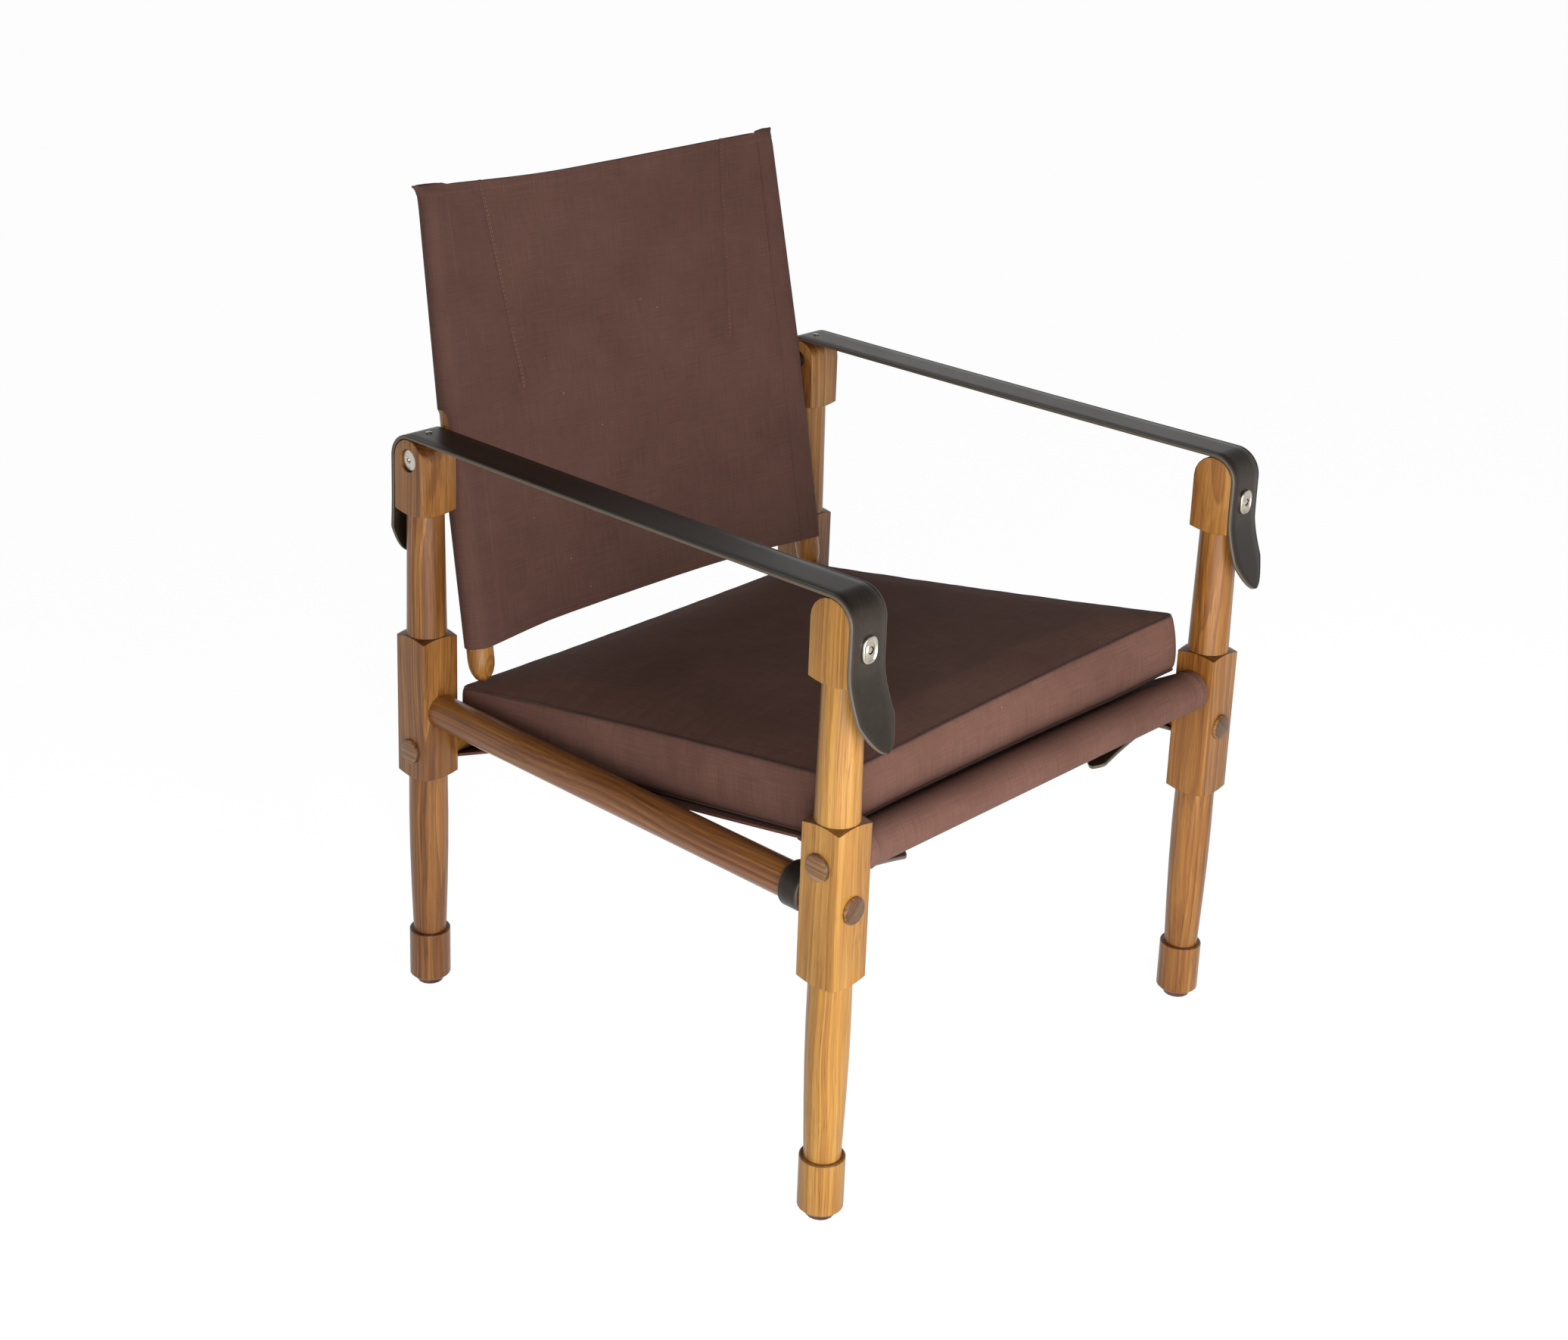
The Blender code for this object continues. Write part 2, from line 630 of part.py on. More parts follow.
def sling_section(bm, across):
    """Vertices of the sling at one place of its width: two sleeves, each outside and inside, and the panel."""
    x = (INNER_X - SLING_SIDE_GAP) * across
    bore_radius = RAIL_RADIUS + CLEARANCE
    sleeves = []
    for y, z, turns, inside in sleeve_turns():
        outer = [(x, y + SLEEVE_RADIUS * math.cos(turn), z + SLEEVE_RADIUS * math.sin(turn)) for turn in turns]
        inner = [(x, y + bore_radius * math.cos(turn), z + bore_radius * math.sin(turn)) for turn in turns + inside]
        sleeves.append(([bm.verts.new(point) for point in outer], [bm.verts.new(point) for point in inner]))
    panel = arc(FRONT_Y + SLEEVE_TAIL, REAR_Y - SLEEVE_TAIL, PANEL_STEPS)
    lower = [bm.verts.new((x, y, sling_height(across, y) - SLING_THICKNESS / 2)) for y in panel]
    upper = [bm.verts.new((x, y, sling_height(across, y) + SLING_THICKNESS / 2)) for y in panel]
    return sleeves, lower, upper


def close_sling_edge(bm, section):
    """Fill one cut edge of the sling between its outside and the two rail holes."""
    sleeves, lower, upper = section
    for outer, inner in sleeves:
        for index in range(len(outer) - 1):
            bm.faces.new([outer[index], outer[index + 1], inner[index + 1], inner[index]])
    for low, low_next, high, high_next in zip(lower, lower[1:], upper, upper[1:]):
        bm.faces.new([low, low_next, high_next, high])
    ends = ((lower[0], upper[0]), (upper[-1], lower[-1]))
    for (outer, inner), (after_last, before_first) in zip(sleeves, ends):
        fold = [inner[0]] + list(reversed(inner[len(outer) - 1:]))
        bm.faces.new([outer[0]] + fold + [outer[-1], after_last, before_first])


def build_sling():
    """One canvas sheet with a sleeve for each cross rail."""
    bm = bmesh.new()
    sections = [sling_section(bm, across) for across in arc(-1.0, 1.0, SLING_STEPS)]
    outlines = []
    for (front, rear), lower, upper in sections:
        outlines.append(front[0] + lower + rear[0] + list(reversed(upper)))
    bridge_rows(bm, outlines)
    for sleeve in range(2):
        bridge_rows(bm, [sleeves[sleeve][1] for sleeves, lower, upper in sections])
    close_sling_edge(bm, sections[0])
    close_sling_edge(bm, sections[-1])
    add_object("seat_sling", finish_mesh("seat_sling", bm), canvas())


def cushion_bottom(across, y):
    """Height of the cushion's underside: on the sling, lifted over both rails."""
    front = FRONT_Y + CUSHION_FRONT_SETBACK
    rear = REAR_Y - CUSHION_REAR_SETBACK
    from_front = max(0.0, 1 - (y - front) / CUSHION_LIFT_RUN)
    from_rear = max(0.0, 1 - (rear - y) / CUSHION_LIFT_RUN)
    lift = CUSHION_FRONT_LIFT * from_front ** 1.15 + CUSHION_REAR_LIFT * from_rear ** 2
    return sling_height(across, y) + SLING_THICKNESS / 2 + 2 * CLEARANCE + lift


def cushion_plan(across, along):
    """Plan place of a point of the cushion; both shares run from -1 to 1, along from front to rear."""
    half_width = INNER_X - CUSHION_SIDE_GAP
    front = FRONT_Y + CUSHION_FRONT_SETBACK
    rear = REAR_Y - CUSHION_REAR_SETBACK
    half_depth = (rear - front) / 2
    middle = (front + rear) / 2
    x = half_width * across
    y = half_depth * along
    near_side = max(0.0, abs(x) - (half_width - CUSHION_CORNER_RADIUS)) / CUSHION_CORNER_RADIUS
    near_end = max(0.0, abs(y) - (half_depth - CUSHION_CORNER_RADIUS)) / CUSHION_CORNER_RADIUS
    cut = CUSHION_CORNER_RADIUS * (1 - 1 / math.sqrt(2)) * min(near_side, near_end)
    x -= math.copysign(cut, x) + CUSHION_DRAW_IN * across ** 3 * (1 - along * along)
    y -= math.copysign(cut, y) + CUSHION_DRAW_IN * along ** 3 * (1 - across * across)
    return x, middle + y


def cushion_point(across, along, level, outward=0.0):
    """A point of the cushion; level runs from 0 at the lower seam to 1 at the upper."""
    x, y = cushion_plan(across, along)
    lean = CUSHION_THICKNESS * level
    corner = CUSHION_CORNER_LIFT * (across * along) ** 6
    z = cushion_bottom(across, y) + corner + lean * math.cos(SEAT_ANGLE)
    z += CUSHION_FULLNESS * level * (1 - along ** 4) - CUSHION_REAR_DROP * level * max(0.0, along) ** 4
    reach = max(abs(across), abs(along))
    if outward and reach > 0:
        x += outward * across * (1 if abs(across) == reach else 0)
        y += outward * along * (1 if abs(along) == reach else 0)
    return [x, y + lean * math.sin(SEAT_ANGLE), z]


def cushion_shares():
    """Places across the cushion, closer together towards the edges."""
    return [math.sin(math.pi / 2 * share) for share in arc(-1.0, 1.0, CUSHION_STEPS)]


def build_cushion():
    """Boxed cushion: crowned top, flat bottom and four side bands between two seams."""
    bm = bmesh.new()
    shares = cushion_shares()
    last = len(shares) - 1
    top = {}
    bottom = {}
    for i, across in enumerate(shares):
        for j, along in enumerate(shares):
            crown = CUSHION_CROWN * max(0.0, (1 - across ** 2) * (1 - along ** 2)) ** 0.42
            place = cushion_point(across, along, 1.0)
            place[2] += crown
            top[i, j] = bm.verts.new(place)
            bottom[i, j] = bm.verts.new(cushion_point(across, along, 0.0))
    for i in range(last):
        for j in range(last):
            bm.faces.new([top[i, j], top[i + 1, j], top[i + 1, j + 1], top[i, j + 1]])
            bm.faces.new([bottom[i, j], bottom[i, j + 1], bottom[i + 1, j + 1], bottom[i + 1, j]])
    edge = [(i, 0) for i in range(last)] + [(last, j) for j in range(last)]
    edge += [(i, last) for i in range(last, 0, -1)] + [(0, j) for j in range(last, 0, -1)]
    step = CUSHION_SEAM_STEP / CUSHION_THICKNESS
    bands = [(step, -CUSHION_SEAM_GROOVE), (2 * step, 0.0), (0.5, CUSHION_SIDE_BULGE)]
    bands += [(1 - 2 * step, 0.0), (1 - step, -CUSHION_SEAM_GROOVE)]
    rows = [[bottom[key] for key in edge]]
    for level, outward in bands:
        rows.append([bm.verts.new(cushion_point(shares[i], shares[j], level, outward)) for i, j in edge])
    rows.append([top[key] for key in edge])
    bridge_rows(bm, rows)
    add_object("seat_cushion", finish_mesh("seat_cushion", bm), canvas(), 50.0)


# Straps

def strap_mesh(name, path, half_widths, thickness, across):
    """Sweep a flat strap along a path; its width runs along the given axis."""
    across = Vector(across)
    rings = []
    for index, point in enumerate(path):
        before = path[max(index - 1, 0)]
        after = path[min(index + 1, len(path) - 1)]
        normal = (after - before).cross(across).normalized() * thickness / 2
        side = across * half_widths[index]
        rings.append([point - normal - side, point - normal + side, point + normal + side, point + normal - side])
    return loft(name, rings)


def tongue_widths(distances, length, point_length, width):
    """Half width along a strap end that narrows to a rounded point."""
    widths = []
    for distance in distances:
        left = max(0.0, length - distance)
        share = min(1.0, left / point_length)
        widths.append(width / 2 * max(share, 0.02) ** 0.5)
    return widths


def arm_strap_side():
    """Side path of an arm strap from its rear tongue to its front tongue, with half widths."""
    shares = (0.0, 0.02, 0.05, 0.09, 0.15, 0.22, 0.31, 0.41, 0.53, 1.0)
    path = []
    widths = []
    rear_line = REAR_Y + STRAP_OFFSET
    front_line = FRONT_Y - STRAP_OFFSET
    ends = (
        (rear_line, REAR_TONGUE_DROP, REAR_TONGUE_FLARE, 1),
        (front_line, FRONT_TONGUE_DROP, FRONT_TONGUE_FLARE, -1),
    )
    tongues = []
    for line, drop, flare, way in ends:
        points = []
        distances = [drop * (1 - share) for share in shares]
        for share in shares:
            bend = max(0.0, 1 - drop * share / TONGUE_FLARE_LENGTH) ** 1.5
            points.append(Vector((0, line + way * flare * bend, PIVOT_HEIGHT - drop * (1 - share))))
        tongues.append((points, tongue_widths(distances, drop, TONGUE_POINT, STRAP_WIDTH)))
    rear_points, rear_widths = tongues[0]
    front_points, front_widths = tongues[1]
    path += rear_points
    widths += rear_widths
    for angle in arc(0, math.pi / 2, BEND_STEPS)[1:]:
        path.append(Vector((0, REAR_Y + STRAP_OFFSET * math.cos(angle), PIVOT_HEIGHT + STRAP_OFFSET * math.sin(angle))))
        widths.append(STRAP_WIDTH / 2)
    for angle in arc(math.pi / 2, math.pi, BEND_STEPS)[:-1]:
        path.append(Vector((0, FRONT_Y + STRAP_OFFSET * math.cos(angle), PIVOT_HEIGHT + STRAP_OFFSET * math.sin(angle))))
        widths.append(STRAP_WIDTH / 2)
    path += reversed(front_points)
    widths += reversed(front_widths)
    return path, widths


def build_arm_straps():
    path, widths = arm_strap_side()
    mesh = strap_mesh("arm_strap", path, widths, STRAP_THICKNESS, (1, 0, 0))
    stud_hole = shaft_cutter("stud_hole", STUD_BASE_RADIUS + CLEARANCE, STRAP_THICKNESS + OVERRUN)
    thin_hole = shaft_cutter("thin_hole", STUD_SCREW_RADIUS + CLEARANCE, STRAP_THICKNESS + OVERRUN)
    fastener_height = PIVOT_HEIGHT - FASTENER_DROP
    for name, sign in (("left", -1), ("right", 1)):
        x = sign * LEG_X
        strap = add_object(f"arm_strap_{name}", mesh, leather())
        strap.location = (x, 0, 0)
        front = cutter(f"stud_hole_{name}", stud_hole, (x, FRONT_Y - LEG_HALF, fastener_height), (0, -1, 0))
        rear = cutter(f"strap_screw_hole_{name}", thin_hole, (x, REAR_Y + LEG_HALF, fastener_height), (0, 1, 0))
        top = cutter(f"strap_nail_hole_{name}", thin_hole, (x, REAR_Y - NAIL_SETBACK, ARM_HEIGHT), (0, 0, 1))
        for tool in (front, rear, top):
            shape_with(strap, tool)


def snap_mesh():
    """Oval snap plate along +Z, with a raised rim round its middle hole."""
    bm = bmesh.new()
    levels = [
        (SNAP_HOLE_RADIUS, SNAP_HOLE_RADIUS, 0),
        (SNAP_HALF_WIDTH, SNAP_HALF_HEIGHT, 0),
        (SNAP_HALF_WIDTH, SNAP_HALF_HEIGHT, SNAP_THICKNESS / 3),
        (SNAP_HALF_WIDTH - SNAP_RIM, SNAP_HALF_HEIGHT - SNAP_RIM, SNAP_THICKNESS),
        (SNAP_HOLE_RADIUS + SNAP_RIM, SNAP_HOLE_RADIUS + SNAP_RIM, SNAP_THICKNESS * 2 / 3),
        (SNAP_HOLE_RADIUS, SNAP_HOLE_RADIUS, SNAP_THICKNESS),
    ]
    rows = []
    for half_width, half_height, height in levels:
        turns = [2 * math.pi * index / SMALL_SIDES for index in range(SMALL_SIDES)]
        rows.append([bm.verts.new((half_width * math.cos(a), half_height * math.sin(a), height)) for a in turns])
    rows.append(rows[0])
    bridge_rows(bm, rows)
    return finish_mesh("snap", bm)


def headed_screw(name, head_radius, head_thickness, head_gap, length):
    """Domed head and shank along +Z; the head's underside is head_gap before height zero."""
    profile = [
        (0, -head_gap - head_thickness),
        (head_radius / 2, -head_gap - head_thickness * 0.9),
        (head_radius, -head_gap - head_thickness / 3),
        (head_radius, -head_gap),
        (STUD_SCREW_RADIUS, -head_gap),
        (STUD_SCREW_RADIUS, length),
        (0, length),
    ]
    return lathe(name, profile, HIDDEN_SIDES)


def stud_mesh():
    """Snap stud along -Z out of the leg, with its screw along +Z."""
    head = -(STRAP_THICKNESS + STUD_PROUD)
    profile = [
        (0, head),
        (STUD_HEAD_RADIUS, head + STUD_HEAD_RADIUS / 4),
        (STUD_HEAD_RADIUS, head + STUD_HEAD_RADIUS / 2),
        (STUD_NECK_RADIUS, head + STUD_HEAD_RADIUS),
        (STUD_NECK_RADIUS, -STUD_BASE_THICKNESS),
        (STUD_BASE_RADIUS, -STUD_BASE_THICKNESS),
        (STUD_BASE_RADIUS, -CLEARANCE),
        (STUD_SCREW_RADIUS, -CLEARANCE),
        (STUD_SCREW_RADIUS, STUD_SCREW_LENGTH),
        (0, STUD_SCREW_LENGTH),
    ]
    return lathe("stud", profile, HIDDEN_SIDES)


def build_strap_fasteners():
    over_strap = 2 * CLEARANCE + STRAP_THICKNESS
    snap = snap_mesh()
    stud = stud_mesh()
    screw = headed_screw("strap_screw", SCREW_HEAD_RADIUS, SCREW_HEAD_THICKNESS, over_strap, STUD_SCREW_LENGTH)
    nail = headed_screw("strap_nail", NAIL_HEAD_RADIUS, NAIL_HEAD_THICKNESS, over_strap, STUD_SCREW_LENGTH)
    height = PIVOT_HEIGHT - FASTENER_DROP
    for name, sign in (("left", -1), ("right", 1)):
        x = sign * LEG_X
        front_face = Vector((x, FRONT_Y - LEG_HALF, height))
        plate = add_object(f"snap_plate_{name}", snap, nickel())
        aim(plate, front_face - Vector((0, over_strap, 0)), (0, -1, 0))
        aim(add_object(f"snap_stud_{name}", stud, nickel()), front_face, (0, 1, 0))
        aim(add_object(f"strap_screw_{name}", screw, nickel()), (x, REAR_Y + LEG_HALF, height), (0, -1, 0))
        aim(add_object(f"strap_nail_{name}", nail, bronze()), (x, REAR_Y - NAIL_SETBACK, ARM_HEIGHT), (0, 0, -1))


def thigh_strap_half():
    """Right half of the strap under the seat: from the middle, round the rail and back to its tongue."""
    radius = RAIL_RADIUS + CLEARANCE + STRAP_THICKNESS / 2
    centre = Vector((LEG_X, 0, SIDE_RAIL_HEIGHT))
    lap_x = LEG_X - THIGH_LAP_RUN
    spread = (STRAP_THICKNESS + CLEARANCE) / 2
    # The strap leaves the rail on straight tangents that close on the lap
    closing = math.acos((radius - spread) / THIGH_LAP_RUN)
    path = [Vector((lap_x - THIGH_LAP_LENGTH, 0, SIDE_RAIL_HEIGHT + spread))]
    path.append(Vector((lap_x, 0, SIDE_RAIL_HEIGHT + spread)))
    for angle in arc(math.pi - closing, closing - math.pi, LOOP_STEPS):
        path.append(centre + Vector((radius * math.cos(angle), 0, radius * math.sin(angle))))
    path.append(Vector((lap_x, 0, SIDE_RAIL_HEIGHT - spread)))
    widths = [THIGH_STRAP_WIDTH / 2] * len(path)
    shares = (0.0, 0.25, 0.50, 0.72, 0.86, 0.94, 0.98, 1.0)
    start = lap_x - THIGH_LAP_LENGTH
    for share in shares:
        x = start - THIGH_TONGUE_LENGTH * share
        z = SIDE_RAIL_HEIGHT - spread - THIGH_TONGUE_DROP * share ** 1.4
        path.append(Vector((x, 0, z)))
    distances = [THIGH_TONGUE_LENGTH * share for share in shares]
    widths += tongue_widths(distances, THIGH_TONGUE_LENGTH, THIGH_TONGUE_POINT, THIGH_STRAP_WIDTH)
    return path, widths


def thigh_strap_line():
    """Middle line across the strap, front to rear."""
    return FRONT_Y + LEG_HALF + THIGH_STRAP_SETBACK + THIGH_STRAP_WIDTH / 2


def build_thigh_strap():
    right, widths = thigh_strap_half()
    left = [Vector((-point.x, 0, point.z)) for point in right]
    path = list(reversed(left)) + right
    mesh = strap_mesh("thigh_strap", path, list(reversed(widths)) + widths, STRAP_THICKNESS, (0, 1, 0))
    strap = add_object("thigh_strap", mesh, leather())
    strap.location = (0, thigh_strap_line(), 0)
    half_stack = STRAP_THICKNESS + CLEARANCE / 2
    reach = half_stack + CLEARANCE
    hole = lathe("rivet_hole", [(0, -2 * reach), (RIVET_RADIUS + CLEARANCE, -2 * reach),
                                (RIVET_RADIUS + CLEARANCE, 2 * reach), (0, 2 * reach)], HIDDEN_SIDES)
    head = reach + RIVET_HEAD_THICKNESS
    profile = [
        (0, -head),
        (RIVET_HEAD_RADIUS * 0.7, -head),
        (RIVET_HEAD_RADIUS, -reach - RIVET_HEAD_THICKNESS / 3),
        (RIVET_HEAD_RADIUS, -reach),
        (RIVET_RADIUS, -reach),
    ]
    rivet = lathe("rivet", profile + [(radius, -height) for radius, height in reversed(profile)], HIDDEN_SIDES)
    for name, sign in (("left", -1), ("right", 1)):
        x = sign * (LEG_X - THIGH_LAP_RUN - THIGH_LAP_LENGTH / 2)
        place = (x, thigh_strap_line(), SIDE_RAIL_HEIGHT)
        shape_with(strap, cutter(f"rivet_hole_{name}", hole, place))
        add_object(f"thigh_strap_rivet_{name}", rivet, nickel()).location = place


# Back

def post_below_pivot():
    """The post ends just over the cushion's rear edge."""
    rear = REAR_Y - CUSHION_REAR_SETBACK
    cushion_edge = cushion_bottom(1.0, rear) + CUSHION_THICKNESS * math.cos(SEAT_ANGLE) - CUSHION_REAR_DROP
    return (PIVOT_HEIGHT - cushion_edge - POST_CUSHION_GAP) / math.cos(BACK_TILT)


def post_slimming(height):
    """How much slimmer than at the pivot the tapered post is at a height over it."""
    top = CANVAS_ABOVE_PIVOT - POST_TOP_COVER - POST_END_TAPER
    share = min(1.0, max(0.0, (height - POST_STRAIGHT) / (top - POST_STRAIGHT)))
    return (POST_RADIUS - POST_TOP_RADIUS) * share


def post_profile(growth):
    """Turned post along Z, tapered to its top, with bullet ends; growth widens it for the canvas pocket."""
    top = CANVAS_ABOVE_PIVOT - POST_TOP_COVER
    bottom = -post_below_pivot()
    points = []
    for angle in arc(0, math.pi / 2, 5):
        points.append((POST_RADIUS * math.sin(angle), bottom + POST_TAIL_TAPER * (1 - math.cos(angle))))
    points.append((POST_RADIUS, POST_STRAIGHT))
    for angle in arc(math.pi / 2, 0, 3):
        points.append((POST_TOP_RADIUS * math.sin(angle), top - POST_END_TAPER * (1 - math.cos(angle))))
    points[0] = (0, bottom)
    points[-1] = (0, top)
    grown = []
    for radius, height in points:
        way = 1 if height > 0 else -1
        grown.append((radius + growth if radius > 0 else 0, height + way * growth))
    return grown


def back_pivot():
    """Empty on the pivot line, leaned back with the posts."""
    pivot = bpy.data.objects.new("back_pivot", None)
    bpy.context.scene.collection.objects.link(pivot)
    pivot.location = (0, REAR_Y, PIVOT_HEIGHT)
    pivot.rotation_euler = (-BACK_TILT, 0, 0)
    return pivot


def spot_cutter():
    """Flat and insert bore in a post's outer side, along +Z towards the post's middle."""
    depth = SPOT_FACE_DEPTH
    bore_floor = POST_RADIUS * 2 - SPOT_FACE_DEPTH * 2
    profile = [
        (0, -OVERRUN),
        (SPACER_RADIUS + CLEARANCE, -OVERRUN),
        (SPACER_RADIUS + CLEARANCE, depth),
        (INSERT_RADIUS + CLEARANCE, depth),
        (INSERT_RADIUS + CLEARANCE, bore_floor),
        (0, bore_floor),
    ]
    return lathe("spot_cutter", profile, SMALL_SIDES)


def build_posts(pivot):
    post = lathe("back_post", post_profile(0.0), ROUND_SIDES)
    spot = spot_cutter()
    insert_length = POST_RADIUS * 2 - SPOT_FACE_DEPTH * 3 - 2 * CLEARANCE
    insert = insert_mesh("pivot_insert", insert_length, PIVOT_FIT, ROUND_SIDES)
    spacer_length = POST_SIDE_GAP + SPOT_FACE_DEPTH - 2 * CLEARANCE
    hole = BOLT_RADIUS + CLEARANCE
    spacer = lathe("spacer", [(hole, 0), (SPACER_RADIUS, 0), (SPACER_RADIUS, spacer_length), (hole, spacer_length)],
                   SMALL_SIDES, ring=True)
    for name, sign in (("left", -1), ("right", 1)):
        item = add_object(f"back_post_{name}", post, walnut())
        item.parent = pivot
        item.location = (sign * POST_X, 0, 0)
        item.rotation_euler = (0, -sign * POST_TOE_IN, 0)
        face_x = POST_X + POST_RADIUS
        turn = (0, -sign * math.pi / 2, 0)
        tool = cutter(f"spot_face_{name}", spot)
        tool.parent = pivot
        tool.location = (sign * face_x, 0, 0)
        tool.rotation_euler = turn
        shape_with(item, tool)
        sleeve = add_object(f"pivot_insert_{name}", insert, brass())
        sleeve.parent = pivot
        sleeve.location = (sign * (face_x - SPOT_FACE_DEPTH - CLEARANCE), 0, 0)
        sleeve.rotation_euler = turn
        washer = add_object(f"pivot_spacer_{name}", spacer, leather())
        washer.parent = pivot
        washer.location = (sign * (INNER_X - CLEARANCE), 0, 0)
        washer.rotation_euler = turn
        aim(add_object(f"pivot_bolt_{name}", pivot_bolt_mesh(), steel()),
            (sign * (LEG_X + LEG_HALF - PIVOT_RECESS_DEPTH + CLEARANCE), REAR_Y, PIVOT_HEIGHT), (-sign, 0, 0))


def pivot_bolt_mesh():
    """Dished round head with a socket, then a shank that ends inside the post's insert."""
    seat_to_inner = LEG_SIDE - PIVOT_RECESS_DEPTH
    tip = seat_to_inner + POST_SIDE_GAP + POST_RADIUS * 2 - SPOT_FACE_DEPTH * 3
    profile = [
        (0, -PIVOT_HEAD_LENGTH / 3),
        (PIVOT_SOCKET_RADIUS, -PIVOT_HEAD_LENGTH / 3),
        (PIVOT_SOCKET_RADIUS, -PIVOT_HEAD_LENGTH),
        (PIVOT_HEAD_RADIUS - PIVOT_HEAD_DISH, -PIVOT_HEAD_LENGTH + PIVOT_HEAD_DISH / 3),
        (PIVOT_HEAD_RADIUS, -PIVOT_HEAD_LENGTH + PIVOT_HEAD_DISH),
        (PIVOT_HEAD_RADIUS, 0),
        (BOLT_RADIUS, 0),
        (BOLT_RADIUS, tip),
        (0, tip),
    ]
    return lathe("pivot_bolt", profile, ROUND_SIDES)


def canvas_outline():
    """Cross outline of the back canvas as (x, depth, side, turn): a sleeve round each post, the panel before them."""
    radius = BACK_SLEEVE_RADIUS
    inner_angle = math.acos((radius - CANVAS_THICKNESS) / radius)
    last = 3 * math.pi / 2 - inner_angle
    points = []
    for step in range(1, PANEL_STEPS):
        points.append((POST_X * (2 * step / PANEL_STEPS - 1), -radius, 0, 0))
    for turn in arc(-math.pi / 2, last, SLEEVE_STEPS):
        points.append((POST_X + radius * math.cos(turn), radius * math.sin(turn), 1, turn))
    for step in range(PANEL_STEPS - 1, 0, -1):
        points.append((POST_X * (2 * step / PANEL_STEPS - 1), -radius + CANVAS_THICKNESS, 0, 0))
    for turn in arc(last, -math.pi / 2, SLEEVE_STEPS):
        points.append((-POST_X - radius * math.cos(turn), radius * math.sin(turn), -1, turn))
    return points


def top_seam_place(side, turn, radius):
    """Where a point of a sleeve lies in the top seam, which presses the sleeve flat, a little behind its panel."""
    spread = 1 + 2 * turn / math.pi if turn < 0 else 1 - 2 * turn / (3 * math.pi / 2)
    along = TOP_SEAM_HALF_WIDTH * spread
    middle = (TOP_SEAM_REAR - radius) / 2
    if along > 0:
        depth = middle + (TOP_SEAM_REAR - middle) * spread
    else:
        depth = middle + (middle + radius) * along * PANEL_STEPS / (2 * POST_X)
    depth += math.copysign(TOP_SEAM_HALF_DEPTH, turn)
    return side * (POST_X + along), depth


def canvas_ring(share):
    """One level of the canvas, from its bottom edge at 0 to its top seam at 1."""
    bottom = -(post_below_pivot() - POST_SHOW)
    top = CANVAS_ABOVE_PIVOT
    shoulder = CANVAS_SHOULDER
    height = bottom + (top - bottom) * share
    closing = 0.0
    if height > shoulder:
        closing = 1 - math.sqrt(max(0.0, 1 - ((height - shoulder) / (top - shoulder)) ** 2))
    radius = BACK_SLEEVE_RADIUS - post_slimming(height)
    ring = []
    for x, depth, side, turn in canvas_outline():
        across = min(1.0, abs(x) / POST_X)
        middle = 1 - across * across
        edge_shift = CANVAS_SCOOP * middle * max(0.0, 1 - 4 * share) - CANVAS_DIP * middle * max(0.0, 4 * share - 3)
        bow = CANVAS_BOW * middle
        if side:
            seam_x, seam_depth = top_seam_place(side, turn, radius)
            x = side * (POST_X + radius * math.cos(turn)) * (1 - closing) + seam_x * closing
            depth = radius * math.sin(turn) * (1 - closing) + seam_depth * closing
        else:
            depth += BACK_SLEEVE_RADIUS - radius
        x -= height * math.tan(POST_TOE_IN) * x / POST_X
        ring.append((x, depth + bow, height + edge_shift))
    return ring


def build_back_canvas(pivot):
    rings = [canvas_ring(share) for share in CANVAS_SHARES]
    sheet = add_object("back_canvas", loft("back_canvas", rings), canvas(), 50.0)
    sheet.parent = pivot
    pocket = lathe("post_pocket", post_profile(CLEARANCE), ROUND_SIDES)
    reach = BACK_SLEEVE_RADIUS + OVERRUN
    low = (-WINDOW_INSET, -SPACER_RADIUS - CLEARANCE, -WINDOW_BELOW)
    high = (reach, reach, WINDOW_ABOVE)
    corners = [(x, y) for x, y in ((low[0], low[1]), (high[0], low[1]), (high[0], high[1]), (low[0], high[1]))]
    window = loft("window", [[(x, y, z) for x, y in corners] for z in (low[2], high[2])])
    for name, sign in (("left", -1), ("right", 1)):
        tool = cutter(f"post_pocket_{name}", pocket)
        tool.parent = pivot
        tool.location = (sign * POST_X, 0, 0)
        tool.rotation_euler = (0, -sign * POST_TOE_IN, 0)
        shape_with(sheet, tool)
        gap = cutter(f"pivot_window_{name}", window)
        gap.parent = pivot
        gap.location = (sign * (POST_X + 2 * WINDOW_INSET), 0, 0)
        gap.rotation_euler = (0, 0, 0 if sign > 0 else math.pi)
        shape_with(sheet, gap)


def main():
    clear_scene()
    build_legs()
    build_glides()
    build_rails()
    build_rail_fastenings()
    build_sling()
    build_cushion()
    build_arm_straps()
    build_strap_fasteners()
    build_thigh_strap()
    pivot = back_pivot()
    build_posts(pivot)
    build_back_canvas(pivot)


main()
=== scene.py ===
"""Looks of the campaign chair: oiled wood, brown canvas, black leather and nickel fittings.

Metres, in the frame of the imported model. Every place is worked out from the model's own nodes.
"""

import json
import math

import bmesh
import bpy
from mathutils import Matrix, Vector, noise

